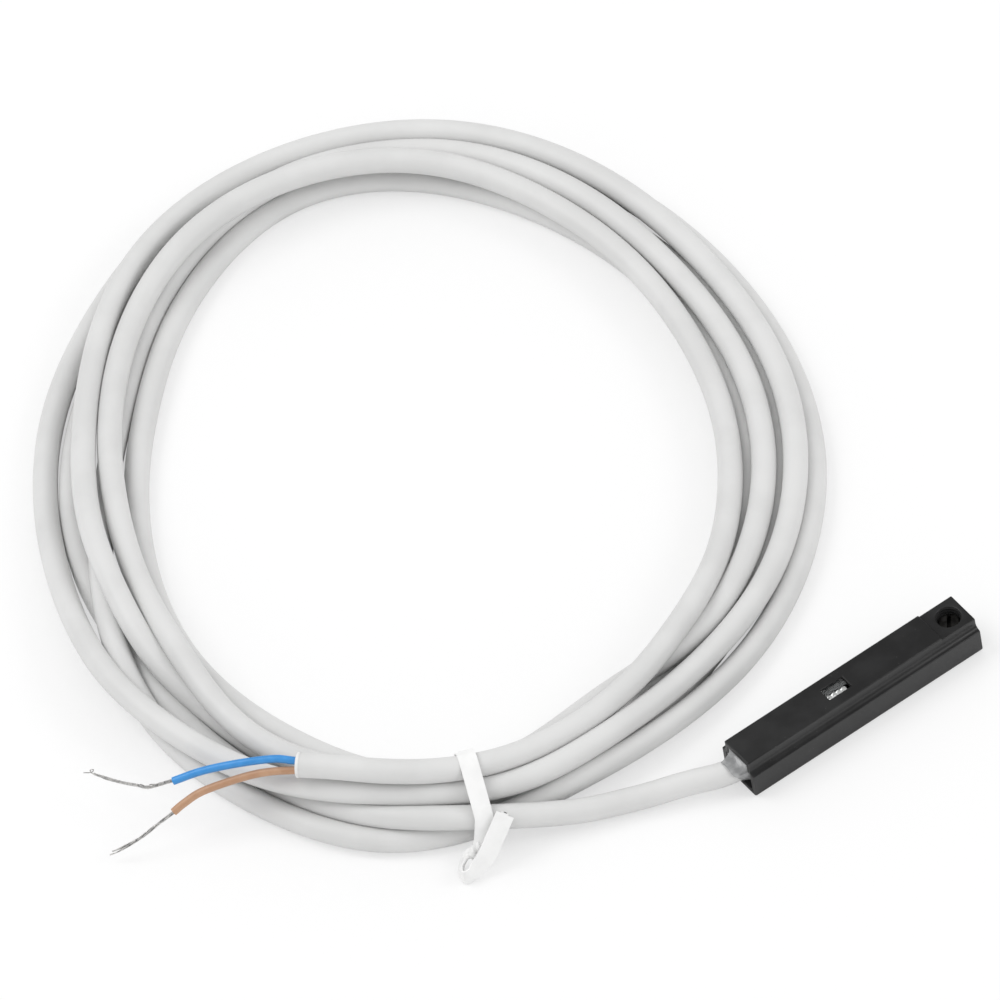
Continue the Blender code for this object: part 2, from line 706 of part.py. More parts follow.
def coil_point(angle, outward=0.0, height=0.0):
    """Place beside the coil's middle oval; the angle is measured from its short axis."""
    normal = Vector((COIL_SHORT_RADIUS * math.sin(angle), COIL_LONG_RADIUS * math.cos(angle)))
    normal.normalize()
    along = COIL_LONG_RADIUS * math.sin(angle) + normal.x * outward
    across = COIL_SHORT_RADIUS * math.cos(angle) + normal.y * outward
    long_x, long_y = math.cos(COIL_LONG_DIRECTION), math.sin(COIL_LONG_DIRECTION)
    x = COIL_CENTRE[0] + along * long_x + across * long_y
    y = COIL_CENTRE[1] + along * long_y - across * long_x
    return Vector((x, y, height))


def coil_section(angle):
    """Points round the coil there: under the tie it is drawn in and clear of the floor."""
    away = abs((angle - COIL_WAIST_ANGLE + math.pi) % math.tau - math.pi)
    near = max(0.0, 1.0 - away / COIL_WAIST_SPREAD)
    drawn_in = near * near * (3.0 - 2.0 * near)
    half_width = (COIL_WIDTH + (COIL_WAIST_WIDTH - COIL_WIDTH) * drawn_in) / 2
    half_height = (COIL_HEIGHT - COIL_WAIST_LIFT * drawn_in) / 2
    points = []
    for step in range(COIL_SIDES):
        turned = math.tau * step / COIL_SIDES
        outward = half_width * math.cos(turned) - COIL_WAIST_INWARD * drawn_in
        height = COIL_HEIGHT - half_height + half_height * math.sin(turned)
        points.append(coil_point(angle, outward, height))
    return points


def make_coil(parts, parent):
    """Outer shape of the wound lead, one closed ring."""
    bm = bmesh.new()
    rings = []
    for step in range(COIL_POINTS):
        angle = COIL_WAIST_ANGLE + math.tau * step / COIL_POINTS
        rings.append([bm.verts.new(point) for point in coil_section(angle)])
    for here, ahead in zip(rings, rings[1:] + rings[:1]):
        for side in range(COIL_SIDES):
            after = (side + 1) % COIL_SIDES
            bm.faces.new((here[side], here[after], ahead[after], ahead[side]))
    bmesh.ops.recalc_face_normals(bm, faces=bm.faces)
    mesh = mesh_from(bm, "cord_coil")
    mesh.shade_smooth()
    add_part("cord_coil", mesh, "grey_pvc", parts, parent)


def make_lead_out(parts, parent):
    """Lead from the case's end to the coil."""
    height = LEAD_EXIT_HEIGHT
    route = [(SHEATH_START, 0.0, height), (REAR_END, 0.0, height)]
    route += in_metres(LEAD_OUT_ROUTE)
    points = smooth_route(route, CABLE_DIAMETER / 2)
    curve = route_curve("cord_lead_out", points, radius=CABLE_DIAMETER / 2)
    add_part("cord_lead_out", curve, "grey_pvc", parts, parent)


def make_wire(name, route, diameter, finish, parts, parent):
    """Tube along one of the routes that were chosen by hand."""
    points = smooth_route(in_metres(route), diameter * 2)
    curve = route_curve(name, points, radius=diameter / 2)
    add_part(name, curve, finish, parts, parent)


def make_twist_tie(parts, cutters, parent):
    """Flat plastic tie: under the coil, round it, and up to its loose tail."""
    half_width, half_height = TIE_WIDTH / 2, TIE_THICKNESS / 2
    outline = [
        (half_width, -half_height / 2),
        (half_width, half_height / 2),
        (0.0, half_height),
        (-half_width, half_height / 2),
        (-half_width, -half_height / 2),
        (0.0, -half_height),
    ]
    section = section_guide("tie_section", outline, cutters)
    waist = coil_point(COIL_WAIST_ANGLE)
    along = (coil_point(COIL_WAIST_ANGLE + math.tau / COIL_POINTS) - waist).normalized()
    across = Vector((-along.y, along.x, 0.0))
    middle = waist + across * COIL_WAIST_INWARD
    middle.z = (COIL_HEIGHT + COIL_WAIST_LIFT) / 2
    reach = COIL_WAIST_WIDTH / 2 + TIE_SEAT
    rise = (COIL_HEIGHT - COIL_WAIST_LIFT) / 2 + TIE_SEAT
    points = [waist - across * TIE_START_OFFSET]
    points[0].z = middle.z - rise
    for step in range(TIE_WRAP_STEPS + 1):
        angle = TIE_WRAP_START + TIE_WRAP_TURN * step / TIE_WRAP_STEPS
        point = middle + across * reach * math.cos(angle)
        point.z += rise * math.sin(angle)
        points.append(point)
    for ahead_mm, across_mm, height_mm in TIE_TAIL_ROUTE:
        point = waist + along * ahead_mm * MM + across * across_mm * MM
        point.z = height_mm * MM
        points.append(point)
    smooth = smooth_route([tuple(point) for point in points], TIE_WIDTH / 3)
    curve = route_curve("twist_tie", smooth, section=section)
    add_part("twist_tie", curve, "white_plastic", parts, parent)


def main():
    """Build the whole switch."""
    clear_scene()
    parts = new_collection("cylinder_reed_switch")
    cutters = new_collection("cutters")
    origin = bpy.data.objects.new("switch_origin", None)
    parts.objects.link(origin)

    make_case(parts, cutters, origin)
    make_set_screw(parts, cutters, origin)
    make_window_lens(parts, origin)
    make_board(parts, origin)
    make_chip("indicator_led", LED_SIZE, WINDOW_X, "lamp_red", parts, origin)
    make_chip("resistor", RESISTOR_SIZE, RESISTOR_X, "chip_black", parts, origin)
    make_chip("zener_diode", DIODE_SIZE, DIODE_X, "chip_black", parts, origin)
    make_reed_glass(parts, origin)
    make_reed_lead("reed_lead_front", 1, parts, origin)
    make_reed_lead("reed_lead_rear", -1, parts, origin)
    make_reed_blade("reed_blade_front", 1, parts, origin)
    make_reed_blade("reed_blade_rear", -1, parts, origin)
    make_solder("solder_front", FRONT_SOLDER_X, 0.0, parts, origin)
    make_solder("solder_rear", REAR_SOLDER_X, 0.0, parts, origin)
    make_solder("solder_brown", WIRE_PAD_X, WIRE_PAD_SPREAD / 2, parts, origin)
    make_solder("solder_blue", WIRE_PAD_X, -WIRE_PAD_SPREAD / 2, parts, origin)
    make_end_seal(parts, cutters, origin)
    make_inner_core("brown_inner_core", 1, "brown_pvc", parts, origin)
    make_inner_core("blue_inner_core", -1, "blue_pvc", parts, origin)

    make_lead_out(parts, origin)
    make_coil(parts, origin)
    make_wire("cord_tail", TAIL_ROUTE, CABLE_DIAMETER, "grey_pvc", parts, origin)
    make_wire("blue_core", BLUE_CORE_ROUTE, CORE_DIAMETER, "blue_pvc", parts, origin)
    make_wire("brown_core", BROWN_CORE_ROUTE, CORE_DIAMETER, "brown_pvc", parts, origin)
    make_wire("blue_strands", BLUE_STRAND_ROUTE, STRAND_BUNDLE_DIAMETER, "tinned_copper", parts, origin)
    make_wire("brown_strands", BROWN_STRAND_ROUTE, STRAND_BUNDLE_DIAMETER, "tinned_copper", parts, origin)
    make_twist_tie(parts, cutters, origin)


main()
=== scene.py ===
"""Dressed scene of a cylinder reed switch with its coiled two-core lead.

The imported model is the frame: every piece is in metres, in its axes, and rides on one of its bodies.
Inside the classes lengths are in millimetres, and MM turns them into metres.
"""
import logging
import math
from collections.abc import Callable
from dataclasses import dataclass, field
from enum import Enum

import bmesh
import bpy
import numpy as np
from mathutils import Matrix, Vector


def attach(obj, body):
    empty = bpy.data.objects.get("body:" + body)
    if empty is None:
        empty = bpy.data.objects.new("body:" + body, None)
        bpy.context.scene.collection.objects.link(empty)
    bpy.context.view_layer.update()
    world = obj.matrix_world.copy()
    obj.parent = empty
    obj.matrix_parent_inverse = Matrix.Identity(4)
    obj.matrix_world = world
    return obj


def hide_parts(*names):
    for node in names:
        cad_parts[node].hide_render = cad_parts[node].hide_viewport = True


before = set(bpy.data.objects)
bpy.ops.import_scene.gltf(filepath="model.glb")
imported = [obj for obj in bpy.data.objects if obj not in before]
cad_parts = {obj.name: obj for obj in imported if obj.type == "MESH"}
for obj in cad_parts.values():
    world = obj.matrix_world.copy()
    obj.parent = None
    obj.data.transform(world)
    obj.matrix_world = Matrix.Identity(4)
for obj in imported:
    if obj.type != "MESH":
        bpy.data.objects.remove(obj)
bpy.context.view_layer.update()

LOG = logging.getLogger("reed_switch")
MM = 0.001
MERGE = 1e-5
WHITE = (1.0, 1.0, 1.0)
Point = tuple[float, float, float]
Spot = tuple[float, float]


class Body(str, Enum):
    """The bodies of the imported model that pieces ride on."""

    SWITCH = "switch_body"
    SCREW = "set_screw"


class Slot(str, Enum):
    """The record's material slots."""

    SHEATH = "grey_sheath"
    BLUE_SLEEVE = "blue_sleeve"
    BROWN_SLEEVE = "brown_sleeve"
    TINNED_WIRE = "tinned_wire"
    BLACK_MOULDING = "black_moulding"
    SCREW_STEEL = "screw_steel"
    CLEAR_RESIN = "clear_resin"
    GREY_RESIN = "grey_resin"
    WHITE_TIE = "white_tie"


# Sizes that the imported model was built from, in millimetres
CASE_REAR, CASE_FRONT = -15.5, 15.5
CASE_HEIGHT = 5.1
FOOT_HALF, TOP_HALF = 2.9, 2.2
COVE = 0.7
FOOT_HEIGHT = 3.4
LUG_START, LUG_STEP = 11.0, 0.3
HOLLOW_FRONT = 10.2
SCREW_X, SCREW_TOP, SCREW_LENGTH = 13.45, 4.0, 3.9
WINDOW_X, WINDOW_LENGTH, WINDOW_WIDTH = -1.9, 3.0, 1.75
LEAD_HEIGHT = 2.5
LEAD_RADIUS = 1.4
CORE_RADIUS = 0.45
SHEATH_START = -13.8

# Routes of the lead's loose stretches, of its cores and of their bare strands
LEAD_OUT_ROUTE = (
    (SHEATH_START, 0.0, 2.5), (-14.7, 0.0, 2.5), (-15.5, 0.0, 2.5), (-16.7, 0.15, 2.45),
    (-18.0, 0.7, 2.4), (-20.2, 1.9, 2.2), (-22.3, 2.9, 2.0), (-24.0, 3.6, 1.85),
    (-26.7, 4.8, 1.75), (-30.7, 6.5, 1.9), (-33.9, 7.9, 2.5), (-36.9, 9.7, 3.1),
)
TAIL_ROUTE = (
    (-46.2, 20.1, 8.5), (-48.4, 22.3, 8.5), (-50.6, 24.8, 8.5), (-52.4, 26.7, 8.5), (-53.9, 28.2, 8.5),
)
BLUE_CORE_ROUTE = (
    (-52.6, 27.3, 8.85), (-54.0, 28.75, 8.85), (-55.5, 30.4, 8.85), (-58.6, 32.9, 8.3), (-61.8, 35.4, 7.3),
    (-64.6, 37.1, 6.3),
)
BROWN_CORE_ROUTE = (
    (-53.0, 26.6, 8.15), (-54.4, 28.05, 8.15), (-56.8, 30.2, 7.8), (-59.3, 32.0, 7.1), (-62.9, 34.0, 6.0),
    (-65.1, 34.6, 5.2), (-66.5, 34.8, 4.6),
)
BLUE_STRAND_ROUTE = (
    (-64.0, 36.8, 6.5), (-64.9, 37.4, 6.2), (-66.8, 38.9, 5.4), (-67.4, 40.2, 5.0), (-68.2, 42.1, 4.4),
    (-69.0, 44.2, 3.9), (-69.5, 45.6, 3.5),
)
BLUE_SPUR_ROUTE = (
    (-67.2, 39.9, 5.3), (-66.9, 39.4, 5.2), (-66.8, 39.0, 5.0), (-66.4, 39.2, 5.2), (-66.1, 38.7, 5.5),
)
BLUE_HAIR_ROUTE = (
    (-69.3, 44.8, 3.8), (-69.6, 45.7, 3.7), (-69.6, 46.2, 3.9), (-69.3, 45.9, 4.0), (-69.6, 46.0, 3.7),
    (-70.1, 46.8, 3.3),
)
BROWN_STRAND_ROUTE = (
    (-66.1, 34.7, 4.75), (-66.95, 34.9, 4.35), (-68.5, 35.3, 3.6), (-70.5, 35.7, 2.7), (-72.4, 36.4, 1.9),
    (-73.9, 37.1, 1.3),
)

# The tie's places and front directions, in the viewer's ground axes: right, away and up
TIE_MIDDLE = (-42.4, -5.5, 3.2)
TIE_BUNDLE_DIRECTION = (0.985, 0.12, 0.0)
TIE_REACH = 12.0
TIE_KNOT_ROUTE = ((-43.0, -12.0, 2.4), (-43.4, -12.3, 2.1))
TIE_KNOT_FRONTS = ((-0.2, -0.6, 0.75), (-0.2, -0.6, 0.75))
TIE_TWIST_ENDS = ((-42.4, -11.5, 2.7), (-44.1, -12.6, 1.6))
TIE_TAIL_ROUTE = (
    (-43.7, -12.0, 2.0), (-44.7, -12.5, 1.5), (-45.3, -13.5, 1.15), (-45.1, -14.8, 1.1), (-44.2, -14.7, 1.2),
    (-43.4, -14.1, 1.5), (-42.3, -13.4, 2.3), (-41.0, -12.3, 3.9), (-39.5, -10.8, 5.6),
)
TIE_TAIL_FRONTS = (
    (-0.3, -0.6, 0.7), (-0.9, -0.2, 0.3), (-0.9, -0.3, 0.2), (-0.7, -0.7, 0.0), (0.0, -1.0, 0.0),
    (0.1, -0.9, 0.3), (0.1, -0.8, 0.5), (0.1, -0.75, 0.6), (0.15, -0.7, 0.7),
)
TIE_TAIL_WIDTHS = (0.4, 0.6, 0.85, 0.95, 1.0, 1.0, 1.0, 1.0, 1.0)
VIEW_COSINE, VIEW_SINE = 0.8766, 0.4812

# The wound lead, turn by turn: (clock angle, outward of the middle oval, height, how firmly it is held
# there), in degrees and millimetres. The clock runs on from the tie, 360 degrees a turn.
COIL_STATIONS = (
    # first turn: out of the bundle's outer side and down to the floor, mostly hidden
    (0.5, 2.1, 3.6, 1), (9.3, 2.24, 3.7, 1), (15.2, 2.37, 3.8, 1), (23.3, 2.1, 3.2, 0.6),
    (33.9, 1.3, 2.0, 0.4), (47.8, 0.5, 1.4, 0.3), (64.6, 0.1, 1.4, 0.6), (76.7, 1.4, 1.4, 1),
    (90.0, 2.5, 1.4, 1), (101.3, 3.15, 1.4, 1), (115.4, 3.1, 1.4, 0.8), (130.6, 3.0, 1.4, 0.3),
    (147.1, 3.6, 1.4, 0.3), (170.1, 3.2, 1.4, 0.3), (193.6, 0.6, 1.4, 0.3), (218.6, -1.4, 1.4, 0.3),
    (248.0, -0.3, 1.4, 0.3), (277.0, 0.0, 1.4, 0.5), (297.6, -1.4, 1.4, 0.3), (316.9, -2.8, 1.5, 0.3),
    (337.5, -3.0, 1.6, 0.3),
    # second turn: over the floor layer on the left, outermost at the top
    (354.0, -3.0, 1.8, 0.2), (369.9, -2.7, 1.8, 0.2), (388.3, -2.2, 1.8, 0.2), (402.7, -2.1, 1.5, 0.3),
    (412.8, -1.9, 2.2, 0.4), (425.6, -0.92, 3.6, 0.8), (437.5, -0.11, 4.0, 1), (450.5, 1.06, 4.0, 1),
    (468.8, 1.72, 3.9, 1), (481.1, 2.78, 3.9, 0.6), (489.4, 4.13, 3.9, 0.7), (502.6, 5.67, 3.9, 1),
    (516.9, 5.22, 3.9, 1), (531.8, 4.46, 3.8, 1), (550.8, 4.0, 3.4, 1), (572.6, 2.34, 3.4, 1),
    (597.3, 1.13, 3.4, 1), (607.6, 1.01, 3.5, 1), (616.7, 1.92, 3.5, 0.8), (639.3, 1.87, 3.5, 1),
    (655.3, 1.16, 3.5, 1), (668.7, -0.71, 3.7, 1), (682.7, -1.62, 4.6, 1), (700.7, -1.39, 5.6, 1),
    # third turn: down from the top of the bundle to its outer edge
    (718.5, 0.53, 6.2, 1), (729.0, 0.76, 6.2, 1), (735.1, 0.72, 5.2, 1), (749.0, 1.33, 4.6, 1),
    (760.3, 1.97, 3.9, 1), (775.6, 3.2, 3.4, 1), (794.0, 4.53, 2.4, 1), (812.8, 5.48, 1.5, 1),
    (830.7, 6.38, 1.4, 1), (843.9, 6.26, 1.4, 1), (850.6, 5.59, 1.4, 0.8), (863.0, 5.5, 1.4, 0.3),
    (876.8, 5.17, 1.4, 0.3), (894.8, 4.71, 1.4, 0.3), (913.2, 3.67, 1.4, 0.3), (937.4, 2.47, 1.4, 0.3),
    (957.3, 2.28, 1.4, 0.3), (976.6, 3.12, 1.4, 0.5), (997.4, 3.64, 1.4, 1), (1013.9, 2.81, 1.4, 0.6),
    (1028.9, 1.77, 1.4, 1), (1045.3, -0.46, 1.4, 1), (1057.3, -1.49, 1.4, 1), (1068.8, -1.6, 1.4, 0.8),
    # fourth turn: outermost on the floor, under the left side, second layer at the top
    (1080.5, 1.33, 1.4, 0.8), (1089.6, 2.62, 1.4, 1), (1105.9, 3.0, 1.4, 1), (1118.2, 3.21, 1.4, 1),
    (1128.7, 3.39, 1.4, 0.9), (1141.4, 3.34, 1.4, 0.5), (1154.5, 1.67, 1.4, 0.3), (1168.2, 0.23, 1.4, 0.3),
    (1183.2, -0.43, 1.4, 0.3), (1190.6, -2.12, 2.4, 0.7), (1202.5, -1.25, 3.2, 0.6),
    (1218.5, 0.57, 3.2, 0.4), (1235.3, 1.67, 3.2, 0.4), (1249.7, 1.83, 3.4, 0.4), (1271.1, 1.05, 3.6, 1),
    (1288.5, -0.65, 3.6, 1), (1303.1, -1.59, 3.6, 1), (1315.6, -2.45, 3.6, 1), (1329.5, -2.06, 3.5, 1),
    (1342.2, -1.47, 3.5, 1), (1359.0, -1.66, 3.5, 1), (1370.6, -1.94, 3.5, 1), (1382.9, -3.11, 3.6, 1),
    (1393.9, -4.63, 3.6, 1), (1407.5, -4.73, 3.2, 0.4), (1428.2, -5.04, 2.2, 0.3),
    # fifth turn: innermost, on the floor all the way
    (1444.9, -3.9, 1.4, 0.2), (1456.9, -4.6, 1.4, 0.3), (1472.0, -5.4, 1.4, 0.8), (1484.0, -5.4, 1.4, 1),
    (1491.0, -5.0, 1.4, 1), (1501.0, -4.3, 1.4, 1), (1511.0, -4.1, 1.4, 1), (1519.0, -4.2, 1.4, 1),
    (1527.0, -4.2, 1.4, 1), (1543.0, -4.0, 1.4, 0.8), (1559.0, -3.4, 1.4, 1), (1575.0, -1.2, 1.4, 0.8),
    (1585.0, -0.2, 1.4, 0.8), (1594.0, 1.4, 1.4, 0.8), (1602.0, 2.2, 1.4, 1), (1612.0, 1.6, 1.4, 1),
    (1622.0, -0.4, 1.4, 1), (1633.0, -2.0, 1.4, 1), (1642.0, -3.0, 1.4, 1), (1674.4, -4.25, 1.4, 0.4),
    (1698.3, -3.76, 1.4, 0.5), (1716.5, -3.6, 1.4, 0.8), (1736.5, -4.4, 1.4, 0.4), (1756.0, -5.2, 1.5, 0.3),
    (1777.2, -5.2, 1.8, 0.3),
    # sixth turn: innermost on top, up over the bundle to the loose end
    (1793.9, -4.75, 3.4, 0.3), (1810.0, -4.05, 3.8, 0.3), (1825.6, -3.09, 4.0, 0.4), (1836.3, -1.62, 4.2, 1),
    (1852.7, -1.91, 4.2, 0.8), (1868.8, -2.3, 4.2, 0.8), (1883.6, -2.61, 4.2, 1), (1895.3, -1.97, 4.2, 0.8),
    (1909.0, -0.78, 4.2, 1), (1930.2, 1.09, 4.2, 1), (1947.3, 2.38, 4.2, 1), (1958.9, 1.97, 4.2, 1),
    (1972.4, 0.98, 4.2, 1), (1992.5, -1.2, 4.2, 1), (2007.6, -3.63, 4.0, 1), (2019.5, -4.57, 4.0, 1),
    (2033.9, -5.18, 3.8, 1), (2051.5, -5.58, 3.6, 1), (2065.6, -5.17, 3.5, 1), (2078.6, -5.29, 3.5, 1),
    (2100.1, -5.4, 3.6, 1), (2116.5, -5.84, 4.0, 1), (2132.4, -5.13, 5.2, 1), (2151.4, -2.94, 6.2, 1),
    (2161.3, -2.0, 6.6, 1), (2174.4, -0.22, 8.3, 1),
)


@dataclass(frozen=True)
class Finish:
    """How a surface looks.

    Two colours are mixed by a soft mottle, and a fine grain gives the bump. Mottle, grain and bump
    are in millimetres. Specks and marks say how strongly dust and scuffs show. The constants go on
    the shader's own sockets.
    """

    name: str
    colour: Point
    second: Point
    roughness: float
    spread: float = 0.06
    metallic: float = 0.0
    coat: float = 0.0
    mottle: float = 3.0
    grain: float = 0.12
    bump: float = 0.01
    transmission: float = 0.0
    ior: float = 1.5
    stretch: Point = (1.0, 1.0, 1.0)
    specks: float = 0.0
    marks: float = 0.0


SHEATH = Finish(
    "sheath_grey", (0.655, 0.655, 0.65), (0.70, 0.70, 0.695), roughness=0.5, spread=0.08,
    mottle=9.0, grain=0.22, bump=0.004, marks=0.25,
)
# The cut end's paler grey paints the highlight along its rim
CUT_HIGHLIGHT = Finish(
    "sheath_cut", (0.76, 0.76, 0.75), (0.80, 0.80, 0.79), roughness=0.6, mottle=0.8, grain=0.1, bump=0.006,
)
CASE_BLACK = Finish(
    "case_black", (0.019, 0.019, 0.0193), (0.026, 0.026, 0.0265), roughness=0.4, spread=0.08,
    mottle=4.0, grain=0.07, bump=0.006, specks=0.08, marks=0.3,
)
STEEL = Finish(
    "screw_steel", (0.055, 0.053, 0.05), (0.13, 0.125, 0.12), roughness=0.36, spread=0.12, metallic=1.0,
    mottle=0.9, grain=0.05, bump=0.004,
)
LENS = Finish(
    "lens_clear", (0.86, 0.88, 0.88), (0.9, 0.92, 0.92), roughness=0.06, spread=0.04, transmission=0.97,
    mottle=1.5, grain=0.2, bump=0.002,
)
# Pale half-metal silver that paints the glints of the window's clear facets
GLINT_SILVER = Finish(
    "painted_glint_silver", (0.86, 0.87, 0.86), (0.93, 0.94, 0.93), roughness=0.3, spread=0.1, metallic=0.5,
    mottle=0.3, grain=0.08,
)
RESIN = Finish(
    "resin_grey", (0.38, 0.385, 0.39), (0.60, 0.605, 0.61), roughness=0.14, transmission=0.3,
    mottle=1.2, grain=0.3, bump=0.004,
)
BLUE = Finish(
    "core_blue", (0.042, 0.26, 0.63), (0.055, 0.30, 0.70), roughness=0.34, spread=0.1,
    mottle=1.6, grain=0.1, bump=0.004,
)
BROWN = Finish(
    "core_brown", (0.46, 0.26, 0.155), (0.52, 0.31, 0.19), roughness=0.38, spread=0.1,
    mottle=1.6, grain=0.1, bump=0.004,
)
WIRE = Finish(
    "wire_tinned", (0.42, 0.415, 0.41), (0.70, 0.69, 0.67), roughness=0.3, spread=0.12, metallic=0.6,
    mottle=0.5, grain=0.05, bump=0.003,
)
TIE = Finish(
    "tie_white", (0.86, 0.86, 0.855), (0.90, 0.90, 0.895), roughness=0.42, spread=0.08,
    mottle=2.0, grain=0.15, bump=0.004,
)
BOARD = Finish(
    "board_green", (0.012, 0.11, 0.045), (0.02, 0.15, 0.06), roughness=0.3, spread=0.1, coat=0.3,
    mottle=1.1, grain=0.1, bump=0.004,
)
CHIP = Finish(
    "chip_black", (0.02, 0.02, 0.021), (0.035, 0.035, 0.036), roughness=0.5, spread=0.1,
    mottle=0.6, grain=0.06, bump=0.004,
)
LAMP = Finish(
    "lamp_body", (0.82, 0.80, 0.76), (0.7, 0.16, 0.12), roughness=0.25, spread=0.08, coat=0.4,
    mottle=0.5, grain=0.1, bump=0.002,
)
GLASS = Finish(
    "capsule_glass", (0.78, 0.9, 0.84), (0.85, 0.95, 0.9), roughness=0.04, spread=0.03,
    transmission=0.9, ior=1.52, mottle=2.0, grain=0.4, bump=0.001,
)
NICKEL = Finish(
    "nickel_iron", (0.56, 0.53, 0.48), (0.66, 0.63, 0.58), roughness=0.28, spread=0.1, metallic=1.0,
    mottle=0.8, grain=0.06, bump=0.003, stretch=(0.15, 1.0, 1.0),
)
SOLDER = Finish(
    "solder_bright", (0.62, 0.63, 0.64), (0.74, 0.75, 0.76), roughness=0.22, spread=0.12, metallic=1.0,
    mottle=0.5, grain=0.08, bump=0.004,
)


@dataclass
class Socket:
    """A node's output that adds and multiplies like a number."""

    graph: "Graph"
    output: bpy.types.NodeSocket

    def _math(self, operation: str, other: "Socket | float") -> "Socket":
        """Add the Math node of an operation on this socket and another value."""
        return self.graph.node("ShaderNodeMath", [self, other], operation=operation)

    def __add__(self, other: "Socket | float") -> "Socket":
        """Add a value."""
        return self._math("ADD", other)

    def __mul__(self, other: "Socket | float") -> "Socket":
        """Multiply by a value."""
        return self._math("MULTIPLY", other)

    __radd__ = __add__
    __rmul__ = __mul__

    def span(self, low: float, high: float) -> "Socket":
        """Map a value smoothly from low..high to 0..1, held at its ends."""
        limits = {"Value": self, "From Min": low, "From Max": high}
        return self.graph.node("ShaderNodeMapRange", limits, interpolation_type="SMOOTHSTEP")


@dataclass
class Graph:
    """A node tree, of a material or of the world, that starts empty."""

    tree: bpy.types.NodeTree

    def __post_init__(self) -> None:
        """Clear the tree."""
        self.tree.nodes.clear()

    def add(self, kind: str, inputs: "dict | list | None" = None, **settings: object) -> bpy.types.Node:
        """Add a node of any kind.

        Args:
            kind: The node's type name.
            inputs: Values or sockets, by the input's name or number, or in order.
            settings: Properties of the node itself, which are set first.

        Returns:
            The new node.
        """
        made = self.tree.nodes.new(kind)
        for key, value in settings.items():
            setattr(made, key, value)
        pairs = inputs.items() if isinstance(inputs, dict) else enumerate(inputs or [])
        for key, value in pairs:
            self.feed(made.inputs[key], value)
        return made

    def node(
        self, kind: str, inputs: "dict | list | None" = None, output: "int | str" = 0, **settings: object
    ) -> Socket:
        """Add a node and take one of its outputs.

        Args:
            kind: The node's type name.
            inputs: Values or sockets, as for add.
            output: The output's name or number.
            settings: Properties of the node itself.

        Returns:
            The chosen output.
        """
        return Socket(self, self.add(kind, inputs, **settings).outputs[output])

    def feed(self, target: bpy.types.NodeSocket, value: "Socket | float | tuple") -> None:
        """Link a socket to an input, or set the input's value.

        Args:
            target: The input.
            value: A socket, a number, a vector or a colour.
        """
        if isinstance(value, Socket):
            self.tree.links.new(value.output, target)
        elif isinstance(value, tuple) and target.type == "RGBA":
            target.default_value = (*value, 1.0)
        else:
            target.default_value = value

    def place(self, size: float, stretch: Point) -> Socket:
        """Scale the piece's own coordinates.

        Args:
            size: Length that becomes one unit, in millimetres.
            stretch: Further scale along each axis.

        Returns:
            The scaled coordinates.
        """
        coordinates = self.node("ShaderNodeTexCoord", output="Object")
        scale = tuple(1.0 / (size * MM) * value for value in stretch)
        return self.node("ShaderNodeMapping", {"Vector": coordinates, "Scale": scale})

    def noise(self, size: float, detail: float, stretch: Point = (1.0, 1.0, 1.0)) -> Socket:
        """Add cloudy noise.

        Args:
            size: Rough width of its blotches, in millimetres.
            detail: How many finer layers it has.
            stretch: Further scale along each axis.

        Returns:
            The noise, mostly from 0.3 to 0.7.
        """
        inputs = {"Vector": self.place(size, stretch), "Scale": 1.0, "Detail": detail, "Roughness": 0.55}
        return self.node("ShaderNodeTexNoise", inputs)

    def mix(self, factor: "Socket | float", first: "Socket | Point", second: "Socket | Point") -> Socket:
        """Mix two colours."""
        return self.node("ShaderNodeMix", {0: factor, 6: first, 7: second}, output=2, data_type="RGBA")


@dataclass
class Paintbox:
    """Makes each finish once and hands out its material."""

    made: dict[str, bpy.types.Material] = field(default_factory=dict)
    dust_size: float = 0.35
    dust_colour: Point = (0.35, 0.34, 0.33)
    scuff_size: float = 1.1
    scuff_stretch: Point = (0.2, 1.0, 1.0)
    scuff_roughness: float = 0.25
    coat_roughness: float = 0.12
    bump_strength: float = 0.6

    def material(self, finish: Finish) -> bpy.types.Material:
        """Find or make the material of a finish.

        Args:
            finish: The finish.

        Returns:
            Its one material.
        """
        if finish.name not in self.made:
            self.made[finish.name] = self._make(finish)
        return self.made[finish.name]

    def _make(self, finish: Finish) -> bpy.types.Material:
        """Build the nodes of a finish.

        Args:
            finish: The finish.

        Returns:
            Its new material.
        """
        made = bpy.data.materials.new(finish.name)
        made.use_nodes = True
        graph = Graph(made.node_tree)
        mottle = graph.noise(finish.mottle, 4.0, finish.stretch)
        colour = graph.mix(mottle.span(0.35, 0.65), finish.colour, finish.second)
        rough = mottle * (2.0 * finish.spread) + (finish.roughness - finish.spread)
        grain = graph.noise(finish.grain, 2.0, finish.stretch)
        if finish.specks:
            dust = graph.noise(self.dust_size, 1.0).span(0.74, 0.78) * finish.specks
            colour = graph.mix(dust, colour, self.dust_colour)
        if finish.marks:
            scuffs = graph.noise(self.scuff_size, 5.0, self.scuff_stretch).span(0.62, 0.72) * finish.marks
            rough = rough + scuffs * self.scuff_roughness
        bump = {"Height": grain, "Strength": self.bump_strength, "Distance": finish.bump * MM}
        shader = graph.node("ShaderNodeBsdfPrincipled", {
            "Base Color": colour,
            "Roughness": rough,
            "Metallic": finish.metallic,
            "Coat Weight": finish.coat,
            "Coat Roughness": self.coat_roughness,
            "Transmission Weight": finish.transmission,
            "IOR": finish.ior,
            "Normal": graph.node("ShaderNodeBump", bump),
        })
        graph.add("ShaderNodeOutputMaterial", {"Surface": shader})
        LOG.info("material %s", finish.name)
        return made


def distances(points: np.ndarray) -> np.ndarray:
    """Distance walked to each point of a line."""
    return np.concatenate([[0.0], np.cumsum(np.linalg.norm(np.diff(points, axis=0), axis=1))])


